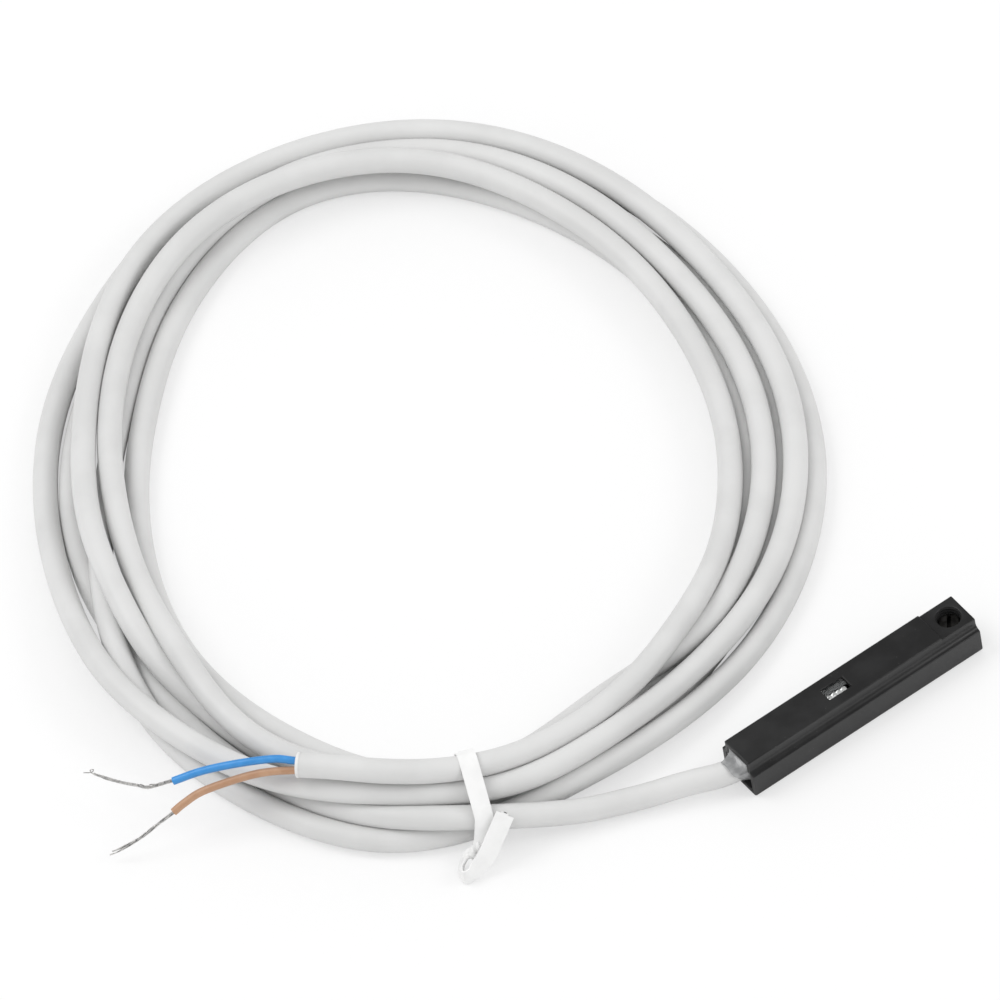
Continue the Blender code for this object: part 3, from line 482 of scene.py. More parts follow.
def smooth_line(knots: "tuple[Point, ...] | np.ndarray", spacing: float, pieces: int = 12) -> np.ndarray:
    """Run a smooth curve through points.

    Args:
        knots: The points to pass through.
        spacing: Distance between the points of the result.
        pieces: Steps between two knots while the curve is drawn.

    Returns:
        Evenly spaced points, the last one included.
    """
    points = np.asarray(knots, float)
    padded = np.vstack([2 * points[0] - points[1], points, 2 * points[-1] - points[-2]])
    share = np.linspace(0.0, 1.0, pieces, endpoint=False)[:, None]
    parts = []
    for before, start, end, after in zip(padded, padded[1:], padded[2:], padded[3:]):
        square = (2 * before - 5 * start + 4 * end - after) * share**2
        cube = (3 * start - before - 3 * end + after) * share**3
        parts.append(0.5 * (2 * start + (end - before) * share + square + cube))
    fine = np.vstack([*parts, points[-1:]])
    walked = distances(fine)
    steps = np.linspace(0.0, walked[-1], max(2, round(walked[-1] / spacing)) + 1)
    return np.column_stack([np.interp(steps, walked, fine[:, axis]) for axis in range(3)])


def from_viewer(points: tuple[Point, ...]) -> np.ndarray:
    """Turn points from the viewer's ground axes into the row frame.

    Args:
        points: Places or directions, as right, away and up.

    Returns:
        The same in X, Y and Z.
    """
    right, away, up = np.array(points).T
    return np.column_stack([
        VIEW_COSINE * right + VIEW_SINE * away, -VIEW_SINE * right + VIEW_COSINE * away, up,
    ])


@dataclass
class Bench:
    """Puts pieces in the scene: names, materials, bodies and the nodes that they stand for."""

    paint: Paintbox = field(default_factory=Paintbox)

    def add(
        self, name: str, data: "bpy.types.Mesh | bpy.types.Curve", finish: Finish, body: Body, slot: Slot,
        *nodes: str,
    ) -> bpy.types.Object:
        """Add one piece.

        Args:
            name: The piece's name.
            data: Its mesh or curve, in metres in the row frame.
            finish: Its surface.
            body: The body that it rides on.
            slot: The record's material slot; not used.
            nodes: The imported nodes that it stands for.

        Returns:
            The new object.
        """
        piece = bpy.data.objects.new(name, data)
        bpy.context.scene.collection.objects.link(piece)
        data.materials.clear()
        data.materials.append(self.paint.material(finish))
        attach(piece, body.value)
        if nodes:
            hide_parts(*nodes)
        LOG.info("piece %s on %s", name, body.value)
        return piece

    def shape(
        self, name: str, bm: bmesh.types.BMesh, finish: Finish, slot: Slot, *nodes: str,
        crease: float = 35.0, body: Body = Body.SWITCH,
    ) -> bpy.types.Object:
        """Add a bmesh as a piece, smooth apart from its sharp edges.

        Args:
            name: The piece's name.
            bm: Its shape in millimetres, which is used up.
            finish: Its surface.
            slot: The record's material slot.
            nodes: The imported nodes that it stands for.
            crease: Angle in degrees from which an edge is sharp.
            body: The body that it rides on.

        Returns:
            The new object.
        """
        bmesh.ops.recalc_face_normals(bm, faces=bm.faces)
        bmesh.ops.scale(bm, vec=(MM, MM, MM), verts=bm.verts)
        mesh = bpy.data.meshes.new(name)
        bm.to_mesh(mesh)
        bm.free()
        mesh.shade_smooth()
        mesh.set_sharp_from_angle(angle=math.radians(crease))
        return self.add(name, mesh, finish, body, slot, *nodes)

    def tube(
        self, name: str, points: np.ndarray, radius: float, finish: Finish, slot: Slot, *nodes: str,
        fine: int = 3,
    ) -> bpy.types.Object:
        """Add a round tube along points as a piece.

        Args:
            name: The piece's name.
            points: Points of its middle line, in millimetres.
            radius: Its radius, in millimetres.
            finish: Its surface.
            slot: The record's material slot.
            nodes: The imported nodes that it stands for.
            fine: How finely it is rounded, as a curve's bevel resolution.

        Returns:
            The new object.
        """
        curve = bpy.data.curves.new(name, "CURVE")
        curve.dimensions = "3D"
        curve.bevel_depth = radius * MM
        curve.bevel_resolution = fine
        curve.use_fill_caps = True
        spline = curve.splines.new("POLY")
        spline.points.add(len(points) - 1)
        spline.points.foreach_set("co", np.column_stack([points * MM, np.ones(len(points))]).ravel())
        spline.use_smooth = True
        return self.add(name, curve, finish, Body.SWITCH, slot, *nodes)

    def carve(self, target: bmesh.types.BMesh, cutters: list[bmesh.types.BMesh]) -> bmesh.types.BMesh:
        """Cut closed shapes out of a closed shape, all in millimetres.

        Args:
            target: The shape that is cut, which is used up.
            cutters: The shapes that are taken out of it, used up too.

        Returns:
            The cut shape.
        """
        base = self._loose(target)
        helpers = [self._loose(cutter) for cutter in cutters]
        for helper in helpers:
            step = base.modifiers.new(helper.name, "BOOLEAN")
            step.operation, step.solver, step.object = "DIFFERENCE", "EXACT", helper
        bpy.context.view_layer.update()
        cut = bmesh.new()
        cut.from_mesh(base.evaluated_get(bpy.context.evaluated_depsgraph_get()).data)
        for item in [base, *helpers]:
            bpy.data.objects.remove(item, do_unlink=True)
        return cut

    def _loose(self, bm: bmesh.types.BMesh) -> bpy.types.Object:
        """Make a passing object for carve.

        Args:
            bm: Its shape, which is used up.

        Returns:
            The object, in no piece list.
        """
        mesh = bpy.data.meshes.new("shape")
        bmesh.ops.recalc_face_normals(bm, faces=bm.faces)
        bm.to_mesh(mesh)
        bm.free()
        item = bpy.data.objects.new("shape", mesh)
        bpy.context.scene.collection.objects.link(item)
        return item


def block(low: Point, high: Point, bm: "bmesh.types.BMesh | None" = None) -> bmesh.types.BMesh:
    """Make a box between two corners.

    Args:
        low: The lowest corner, in millimetres.
        high: The highest corner.
        bm: A shape to add the box to, or None for a new one.

    Returns:
        The shape with the box.
    """
    bm = bm or bmesh.new()
    size, centre = Vector(high) - Vector(low), (Vector(high) + Vector(low)) / 2
    bmesh.ops.create_cube(bm, size=1.0, matrix=Matrix.Translation(centre) @ Matrix.Diagonal((*size, 1.0)))
    return bm


def drum(centre: Point, radius: float, depth: float, sides: int = 64) -> bmesh.types.BMesh:
    """Make an upright cylinder.

    Args:
        centre: Its middle, in millimetres.
        radius: Its radius.
        depth: Its height.
        sides: Corners of its outline.

    Returns:
        The shape.
    """
    bm = bmesh.new()
    bmesh.ops.create_cone(
        bm, cap_ends=True, segments=sides, radius1=radius, radius2=radius, depth=depth,
        matrix=Matrix.Translation(centre),
    )
    return bm


def arc(centre: Spot, radius: float, start: float, end: float, steps: int) -> list[Spot]:
    """List the points of an arc.

    Args:
        centre: Its centre.
        radius: Its radius.
        start: The angle of its first point, in degrees.
        end: The angle of its last point.
        steps: Chords that it has.

    Returns:
        The points, both ends included.
    """
    angles = [math.radians(start + (end - start) * step / steps) for step in range(steps + 1)]
    return [(centre[0] + radius * math.cos(angle), centre[1] + radius * math.sin(angle)) for angle in angles]


def mirrored(half: list[Spot]) -> list[Spot]:
    """Close a half outline with its mirror image."""
    return half + [(-across, up) for across, up in reversed(half)]


def bar(outline: list[Spot], low_x: float, high_x: float) -> bmesh.types.BMesh:
    """Extrude an outline along X.

    Args:
        outline: Points in Y and Z.
        low_x: Where the bar starts.
        high_x: Where it ends.

    Returns:
        The closed shape.
    """
    bm = bmesh.new()
    face = bm.faces.new([bm.verts.new((low_x, across, up)) for across, up in outline])
    made = bmesh.ops.extrude_face_region(bm, geom=[face])
    ends = [item for item in made["geom"] if isinstance(item, bmesh.types.BMVert)]
    bmesh.ops.translate(bm, vec=(high_x - low_x, 0.0, 0.0), verts=ends)
    bmesh.ops.recalc_face_normals(bm, faces=bm.faces)
    return bm


def skin(rows: list[list[Point]], close_ends: bool = False) -> bmesh.types.BMesh:
    """Skin rings of points with quads, for shapes that no operator sweeps.

    Args:
        rows: Rings of equal length.
        close_ends: Whether the first and the last ring are filled.

    Returns:
        The shell.
    """
    bm = bmesh.new()
    lines = [[bm.verts.new(point) for point in row] for row in rows]
    count = len(rows[0])
    for lower, upper in zip(lines, lines[1:]):
        for index in range(count):
            after = (index + 1) % count
            bm.faces.new((lower[index], lower[after], upper[after], upper[index]))
    if close_ends:
        bmesh.ops.holes_fill(bm, edges=[edge for edge in bm.edges if edge.is_boundary], sides=count)
    return bm


@dataclass
class Thread:
    """A screw thread round the set screw's axis."""

    pitch: float = 0.45
    rings_a_turn: int = 8

    def rows(
        self, base: float, low: float, high: float, sides: int, radius_at: Callable[[float, float], float]
    ) -> list[list[Point]]:
        """Stack rings of points up the thread.

        Args:
            base: The height that low and high are counted from.
            low: The first ring.
            high: The last ring.
            sides: Points of a ring.
            radius_at: Radius for a height and the thread's wave there, 0 to 1.

        Returns:
            The rings, from low to high.
        """
        count = round((high - low) / (self.pitch / self.rings_a_turn))
        rows = []
        for step in range(count + 1):
            up = low + (high - low) * step / count
            row = []
            for index in range(sides):
                angle = math.tau * index / sides
                wave = abs(((up / self.pitch - index / sides) % 1.0) * 2 - 1)
                radius = radius_at(up, wave)
                row.append((SCREW_X + radius * math.cos(angle), radius * math.sin(angle), base + up))
            rows.append(row)
        return rows


@dataclass
class CoilWinder:
    """Lays the lead's turns so that they lie on the floor and on each other.

    The places wanted come from COIL_STATIONS, round a middle oval. The lead bends like a stiff cord,
    its strands push each other apart, and it slides along the line of sight far more easily than
    across it, so that the turns stay where they are seen.
    """

    sight: Vector
    centre: Spot = (-16.5, 54.0)
    long_radius: float = 46.0
    short_radius: float = 37.4
    long_direction: float = math.radians(61.2)
    step: float = 3.0
    rounds: int = 450
    stiffness: float = 35.0
    contact: float = 14.0
    clamp: float = 400.0
    loosest_hold: float = 0.15
    depth_hold: float = 0.05
    weight: float = 0.004
    rest_rounds: int = 60
    free_lead_points: int = 2
    own_points: int = 12
    watch_distance: float = 8 * LEAD_RADIUS
    first_growth: float = 0.4
    growth: float = 1.2
    part_passes: int = 2
    part_reach: float = 0.75
    part_strength: float = 1.1

    def spot(self, clock: float, outward: float) -> Spot:
        """Find a place on the floor.

        Args:
            clock: Angle round the coil from the tie, in degrees.
            outward: Distance outside the middle oval.

        Returns:
            The place in X and Y.
        """
        angle = math.radians(-90.0 - clock)
        normal = Vector((self.short_radius * math.sin(angle), self.long_radius * math.cos(angle)))
        normal.normalize()
        along = self.long_radius * math.sin(angle) + normal.x * outward
        across = self.short_radius * math.cos(angle) + normal.y * outward
        unit_x, unit_y = math.cos(self.long_direction), math.sin(self.long_direction)
        return (
            self.centre[0] + along * unit_x + across * unit_y,
            self.centre[1] + along * unit_y - across * unit_x,
        )

    def targets(self) -> tuple[np.ndarray, np.ndarray]:
        """Run a smooth line through the stations.

        Returns:
            The wanted places, and how firmly each is held.
        """
        table = np.array(COIL_STATIONS)
        knots = table[:, 0]
        clock = np.arange(knots[0], knots[-1], self.step)
        index = np.clip(np.searchsorted(knots, clock) - 1, 0, len(knots) - 2)
        width = knots[index + 1] - knots[index]
        share = (clock - knots[index]) / width
        columns = []
        for values in table[:, 1:].T:
            slope = np.gradient(values, knots)
            columns.append(
                (2 * share**3 - 3 * share**2 + 1) * values[index]
                + (share**3 - 2 * share**2 + share) * width * slope[index]
                + (3 * share**2 - 2 * share**3) * values[index + 1]
                + (share**3 - share**2) * width * slope[index + 1]
            )
        outward, height, hold = columns
        places = [(*self.spot(angle, out), up) for angle, out, up in zip(clock, outward, height)]
        return np.array(places), np.clip(hold, self.loosest_hold, 1.0)

    def wind(self, lead: np.ndarray, tail: np.ndarray) -> np.ndarray:
        """Settle the turns.

        Args:
            lead: Points from the switch to the coil, which stay where they are.
            tail: Points of the loose end on top, which stay too.

        Returns:
            The whole lead's points.
        """
        wanted, hold = self.targets()
        wanted = np.vstack([lead, wanted, tail])
        hold = np.concatenate([np.ones(len(lead)), hold, np.ones(len(tail))])
        hold[: len(lead) - self.free_lead_points] = self.clamp
        hold[-len(tail):] = self.clamp
        rest = wanted.copy()
        for _ in range(self.rest_rounds):
            rest[1:-1] = (rest[:-2] + 2 * rest[1:-1] + rest[2:]) / 4
        bend = np.diff(np.eye(len(wanted)), 2, axis=0)
        spring = self.stiffness * bend.T @ bend
        solve = np.linalg.inv(np.diag(hold + self.contact) + spring)
        own_bend = spring @ rest
        first, second = np.triu_indices(len(wanted), 1)
        near = np.linalg.norm((wanted[first] - wanted[second])[:, :2], axis=1) < self.watch_distance
        near &= second - first > self.own_points
        pairs = first[near], second[near]
        places = wanted.copy()
        for turn in range(self.rounds):
            grown = min(1.0, self.first_growth + self.growth * turn / self.rounds)
            gap = wanted - places
            depth = np.outer(gap @ self.sight, self.sight)
            seen = places + gap - depth * (1.0 - self.depth_hold)
            parted = places.copy()
            for _ in range(self.part_passes):
                self._part(parted, 2 * LEAD_RADIUS * grown, *pairs)
                parted[:, 2] = np.maximum(parted[:, 2] - self.weight, LEAD_RADIUS)
            places = solve @ (seen * hold[:, None] + parted * self.contact + own_bend)
        places[:, 2] = np.maximum(places[:, 2], LEAD_RADIUS)
        LOG.info("coil settled, %d points, top at %.2f mm", len(places), places[:, 2].max() + LEAD_RADIUS)
        return places

    def _part(self, places: np.ndarray, diameter: float, first: np.ndarray, second: np.ndarray) -> None:
        """Push strands apart where they are too close.

        Args:
            places: The lead's points, which are moved.
            diameter: The distance that strands keep.
            first: One point's number in each pair that is watched.
            second: The other point's number.
        """
        ahead = np.gradient(places, axis=0)
        spacing = np.linalg.norm(ahead, axis=1, keepdims=True)
        ahead /= spacing
        between = places[first] - places[second]
        middle = ahead[first] + ahead[second]
        middle /= np.linalg.norm(middle, axis=1, keepdims=True)
        along = np.sum(between * middle, axis=1, keepdims=True)
        beside = between - along * middle
        length = np.linalg.norm(beside, axis=1)
        tight = (length < diameter) & (np.abs(along[:, 0]) < self.part_reach * spacing[first, 0])
        push = beside[tight] * ((diameter / np.maximum(length[tight], 1e-6) - 1.0) / 2)[:, None]
        total, count = np.zeros_like(places), np.zeros(len(places))
        np.add.at(total, first[tight], push)
        np.add.at(total, second[tight], -push)
        np.add.at(count, first[tight], 1)
        np.add.at(count, second[tight], 1)
        places += total / np.maximum(count, 1)[:, None] * self.part_strength


@dataclass
class StudioView:
    """The photograph's viewing angle, and the soft light round the part."""

    azimuth: float = math.radians(-28.8)
    elevation: float = math.radians(50.0)
    roll: float = math.radians(10.0)
    aim: Point = (-11.6, 49.7, 0.0)
    frame_width: float = 109.53
    lens: float = 1650.0
    sensor: float = 36.0
    clip_near: float = 0.1
    clip_beyond: float = 5.0
    lamps: tuple = (("key", (-0.35, 0.35, 0.75), 0.5, 2.2), ("fill", (0.55, -0.5, 0.6), 0.35, 1.4))
    world_diffuse: float = 0.85
    world_rays: tuple = (("Is Glossy Ray", 0.1), ("Is Transmission Ray", 1.0), ("Is Camera Ray", 1.0))
    floor_half: float = 3.0
    floor_drop: float = 0.00002
    floor_colour: Point = (0.88, 0.88, 0.88)
    floor_plain_share: float = 0.55

    def towards_camera(self) -> Vector:
        """Unit vector from the part to the camera."""
        return Vector((
            math.sin(self.azimuth) * math.cos(self.elevation),
            -math.cos(self.azimuth) * math.cos(self.elevation),
            math.sin(self.elevation),
        ))

    def make_camera(self) -> None:
        """Add the camera."""
        back = self.towards_camera()
        across = Vector((math.cos(self.azimuth), math.sin(self.azimuth), 0.0))
        turned = Matrix.Rotation(self.roll, 3, -back)
        right, top = turned @ across, turned @ back.cross(across)
        data = bpy.data.cameras.new("camera")
        data.lens, data.sensor_width = self.lens, self.sensor
        distance = self.frame_width * MM * self.lens / self.sensor
        data.clip_start, data.clip_end = self.clip_near, distance * 2 + self.clip_beyond
        camera = bpy.data.objects.new("camera", data)
        turn = Matrix((right, top, back)).transposed().to_4x4()
        camera.matrix_world = Matrix.Translation(Vector(self.aim) * MM + back * distance) @ turn
        bpy.context.scene.collection.objects.link(camera)
        bpy.context.scene.camera = camera

    def make_light(self) -> None:
        """Add the soft lamps and the pale world."""
        scene = bpy.context.scene
        scene.view_settings.view_transform = "Standard"
        centre = Vector(self.aim) * MM
        for name, offset, size, power in self.lamps:
            data = bpy.data.lights.new(name, "AREA")
            data.shape, data.size, data.energy = "DISK", size, power
            lamp = bpy.data.objects.new(name, data)
            lamp.location = centre + Vector(offset)
            lamp.rotation_euler = (-Vector(offset)).to_track_quat("-Z", "Y").to_euler()
            scene.collection.objects.link(lamp)
        scene.world = bpy.data.worlds.new("studio")
        scene.world.use_nodes = True
        graph = Graph(scene.world.node_tree)
        shader = graph.node("ShaderNodeBackground", {"Color": WHITE, "Strength": self.world_diffuse})
        for ray, strength in self.world_rays:
            glow = graph.node("ShaderNodeBackground", {"Color": WHITE, "Strength": strength})
            meets = graph.node("ShaderNodeLightPath", output=ray)
            shader = graph.node("ShaderNodeMixShader", [meets, shader, glow])
        graph.add("ShaderNodeOutputWorld", {"Surface": shader})

    def make_floor(self) -> None:
        """Add the plain pale floor, which keeps a faint shadow."""
        bm = bmesh.new()
        bmesh.ops.create_grid(bm, x_segments=1, y_segments=1, size=self.floor_half)
        mesh = bpy.data.meshes.new("floor")
        bm.to_mesh(mesh)
        bm.free()
        floor = bpy.data.objects.new("floor", mesh)
        floor.location.z = -self.floor_drop
        bpy.context.scene.collection.objects.link(floor)
        material = bpy.data.materials.new("floor_pale")
        material.use_nodes = True
        graph = Graph(material.node_tree)
        lit = graph.node("ShaderNodeBsdfDiffuse", {"Color": self.floor_colour})
        plain = graph.node("ShaderNodeEmission", {"Color": WHITE, "Strength": 1.0})
        seen = graph.node("ShaderNodeLightPath", output="Is Camera Ray") * self.floor_plain_share
        shader = graph.node("ShaderNodeMixShader", [seen, lit, plain])
        graph.add("ShaderNodeOutputMaterial", {"Surface": shader})
        mesh.materials.append(material)


@dataclass
class Lead:
    """The round two-core lead: exit, coil, loose end, cut end, cores and bare strands."""

    bench: Bench
    sight: Vector
    route: np.ndarray = field(default_factory=lambda: np.zeros((0, 3)))
    wire_radius: float = 0.075
    stray_radius: float = 0.06375
    coarse_step: float = 1.8
    sheath_step: float = 1.0
    core_step: float = 0.35
    strand_step: float = 0.2
    stray_step: float = 0.15
    cut_profile: tuple[Spot, ...] = (
        (1.42, -0.3), (1.425, -0.05), (1.39, 0.03), (1.30, 0.07), (1.12, 0.06), (1.04, 0.0), (1.02, -0.35),
    )

    def make(self) -> None:
        lead = smooth_line(LEAD_OUT_ROUTE, self.coarse_step)
        tail = smooth_line(TAIL_ROUTE, self.coarse_step)
        settled = CoilWinder(self.sight).wind(lead, tail)
        self.route = np.vstack([smooth_line(settled[:-1], self.sheath_step), tail[-1:]])
        sheath = self.bench.tube(
            "lead_sheath", self.route, LEAD_RADIUS, SHEATH, Slot.SHEATH,
            "cord_lead_out", "cord_coil", "cord_tail", fine=6,
        )
        pieces = [
            self.cut_end(),
            self.core("blue", BLUE_CORE_ROUTE, BLUE, Slot.BLUE_SLEEVE),
            self.core("brown", BROWN_CORE_ROUTE, BROWN, Slot.BROWN_SLEEVE),
        ]
        pieces += self.strands("blue", BLUE_STRAND_ROUTE, count=6, spread=0.14, turns=3.2)
        pieces += self.strands("brown", BROWN_STRAND_ROUTE, count=4, spread=0.12, turns=0.8)
        pieces += self.stray_wires()

    def cut_end(self) -> bpy.types.Object:
        """Spin the rounded rim over the sheath's cut end.

        Returns:
            The piece.
        """
        end = Vector(self.route[-1])
        ahead = (end - Vector(self.route[-4])).normalized()
        turn = ahead.to_track_quat("Z", "Y").to_matrix().to_4x4()
        bm = bmesh.new()
        verts = [bm.verts.new((radius, 0.0, up)) for radius, up in self.cut_profile]
        edges = [bm.edges.new(pair) for pair in zip(verts, verts[1:])]
        bmesh.ops.spin(
            bm, geom=verts + edges, cent=(0, 0, 0), axis=(0, 0, 1), angle=math.tau, steps=40, use_merge=True,
        )
        bmesh.ops.remove_doubles(bm, verts=bm.verts, dist=MERGE)
        bmesh.ops.transform(bm, matrix=Matrix.Translation(end) @ turn, verts=bm.verts)
        return self.bench.shape("sheath_cut_end", bm, CUT_HIGHLIGHT, Slot.SHEATH)

    def core(self, name: str, knots: tuple[Point, ...], finish: Finish, slot: Slot) -> bpy.types.Object:
        """Make one stripped core.

        Args:
            name: The core's colour, as in the node's name.
            knots: The points that it runs through.
            finish: Its surface.
            slot: The record's material slot.

        Returns:
            The piece.
        """
        line = smooth_line(knots, self.core_step)
        return self.bench.tube(f"{name}_core_sleeve", line, CORE_RADIUS, finish, slot, f"{name}_core", fine=5)

    def strands(
        self, name: str, knots: tuple[Point, ...], count: int, spread: float, turns: float
    ) -> list[bpy.types.Object]:
        """Twist the bare strands of a core together, a little splayed at their ends.

        Args:
            name: The core's colour, as in the node's name.
            knots: The points that the bundle runs through.
            count: Strands in it.
            spread: Distance of each from the bundle's middle.
            turns: Turns of the twist.

        Returns:
            The pieces.
        """
        line = smooth_line(knots, self.strand_step)
        share = np.linspace(0.0, 1.0, len(line))
        made = []
        for index in range(count):
            around = math.tau * (index / count + share * turns)
            offset = spread * (1.0 + 0.9 * share**6)
            strand = line.copy()
            strand[:, 1] += np.cos(around) * offset
            strand[:, 2] = np.maximum(strand[:, 2] + np.sin(around) * offset, self.wire_radius)
            nodes = (f"{name}_strands",) if index == 0 else ()
            made.append(self.bench.tube(
                f"{name}_wire_{index + 1}", strand[: len(strand) - 2 * index], self.wire_radius, WIRE,
                Slot.TINNED_WIRE, *nodes,
            ))
        return made

    def stray_wires(self) -> list[bpy.types.Object]:
        """Make the two wires of the blue core that stand out: a short spur, and a hair past the end.

        Returns:
            The pieces.
        """
        made = []
        for name, knots in (("blue_wire_spur", BLUE_SPUR_ROUTE), ("blue_wire_hair", BLUE_HAIR_ROUTE)):
            line = smooth_line(knots, self.stray_step)
            made.append(self.bench.tube(name, line, self.stray_radius, WIRE, Slot.TINNED_WIRE))
        return made


@dataclass
class CaseShell:
    """The moulded case: foot, coved shoulder, top, stepped lug, window opening and threaded hole."""

    bench: Bench
    foot_round: float = 0.5
    top_round: float = 0.15
    edge_round: float = 0.11
    sharp_angle: float = math.radians(40)
    hollow: tuple[Spot, ...] = ((2.15, 0.6), (2.15, 3.3), (1.7, 3.3), (1.7, 4.4))
    past: float = 1.0
    cut_half: float = 4.0
    hole_radius: float = 1.42
    hole_middle: float = 2.5
    hole_cut: float = 8.0
    thread_depth: float = 0.1
    thread_sides: int = 48
    thread_low: float = 0.12
    thread_drop: float = 0.16
    thread_outer: float = 1.5

    def outline(self) -> list[Spot]:
        """Draw the case's section.

        Returns:
            Its points, up the right side and down the left.
        """
        right = arc((FOOT_HALF - self.foot_round, self.foot_round), self.foot_round, -90, 0, 8)
        right += arc((FOOT_HALF, FOOT_HEIGHT + COVE), COVE, -90, -180, 12)
        right += arc((TOP_HALF - self.top_round, CASE_HEIGHT - self.top_round), self.top_round, 0, 90, 4)
        return mirrored(right)

    def make(self) -> None:
        """Build the case."""
        half, wide, above = WINDOW_LENGTH / 2, WINDOW_WIDTH / 2, CASE_HEIGHT + self.past
        ceiling = self.hollow[-1][1]
        cutters = [
            bar(mirrored(list(self.hollow)), CASE_REAR - self.past, HOLLOW_FRONT),
            block((WINDOW_X - half, -wide, ceiling - self.past), (WINDOW_X + half, wide, above)),
            block(
                (LUG_START, -self.cut_half, CASE_HEIGHT - LUG_STEP),
                (CASE_FRONT + self.past, self.cut_half, above),
            ),
            drum((SCREW_X, 0.0, self.hole_middle), self.hole_radius, self.hole_cut),
        ]
        bm = self.bench.carve(bar(self.outline(), CASE_REAR, CASE_FRONT), cutters)
        bmesh.ops.dissolve_limit(bm, angle_limit=math.radians(0.5), verts=bm.verts, edges=bm.edges)
        edges = [edge for edge in bm.edges if edge.is_manifold]
        sharp = [edge for edge in edges if edge.calc_face_angle(0.0) > self.sharp_angle]
        bmesh.ops.bevel(
            bm, geom=sharp, offset=self.edge_round, segments=3, profile=0.5, affect="EDGES", material=-1,
        )
        bmesh.ops.triangulate(bm, faces=[face for face in bm.faces if len(face.verts) > 4])
        self.bench.shape("case_shell", bm, CASE_BLACK, Slot.BLACK_MOULDING, "case", crease=40.0)
        self.make_thread()

    def make_thread(self) -> None:
        """Build the thread in the lug's hole, with its outer wall inside the moulding."""
        high = CASE_HEIGHT - LUG_STEP - self.thread_drop
        mouth = self.hole_radius - 0.01
        rows = Thread().rows(
            0.0, self.thread_low, high, self.thread_sides, lambda up, wave: mouth - self.thread_depth * wave,
        )
        wide = self.thread_outer
        turns = [math.tau * index / self.thread_sides for index in range(self.thread_sides)]
        outer = [(SCREW_X + wide * math.cos(turn), wide * math.sin(turn)) for turn in turns]
        base = [(*spot, self.thread_low) for spot in outer]
        bm = skin([base, *rows, [(*spot, high) for spot in outer], base])
        bmesh.ops.remove_doubles(bm, verts=bm.verts, dist=MERGE)
        self.bench.shape("lug_thread", bm, CASE_BLACK, Slot.BLACK_MOULDING, crease=60.0)


@dataclass
class SetScrew:
    """Slotted headless screw with its thread."""

    bench: Bench
    radius: float = 1.25
    thread_depth: float = 0.14
    sides: int = 56
    point: float = 0.35
    chamfer: float = 0.18
    slot_half_width: float = 0.225
    slot_depth: float = 0.8
    slot_half_length: float = 2.0
    slot_angle: float = math.radians(54.0)

    def radius_at(self, up: float, wave: float) -> float:
        """Find the screw's radius.

        Args:
            up: Height above its lower end.
            wave: The thread's wave there, 0 to 1.

        Returns:
            The radius, less the thread and the chamfers of both ends.
        """
        taper = max(0.0, self.point - up) + max(0.0, up - (SCREW_LENGTH - self.chamfer))
        return min(self.radius - self.thread_depth * (1 - wave), self.radius - taper)

    def make(self) -> None:
        """Build the screw."""
        rows = Thread().rows(SCREW_TOP - SCREW_LENGTH, 0.0, SCREW_LENGTH, self.sides, self.radius_at)
        slot = block(
            (-self.slot_half_length, -self.slot_half_width, SCREW_TOP - self.slot_depth),
            (self.slot_half_length, self.slot_half_width, SCREW_TOP + 1.0),
        )
        turn = Matrix.Translation((SCREW_X, 0, 0)) @ Matrix.Rotation(self.slot_angle, 4, "Z")
        bmesh.ops.transform(slot, matrix=turn, verts=slot.verts)
        bm = self.bench.carve(skin(rows, close_ends=True), [slot])
        self.bench.shape(
            "set_screw_body", bm, STEEL, Slot.SCREW_STEEL, "set_screw", crease=30.0, body=Body.SCREW,
        )


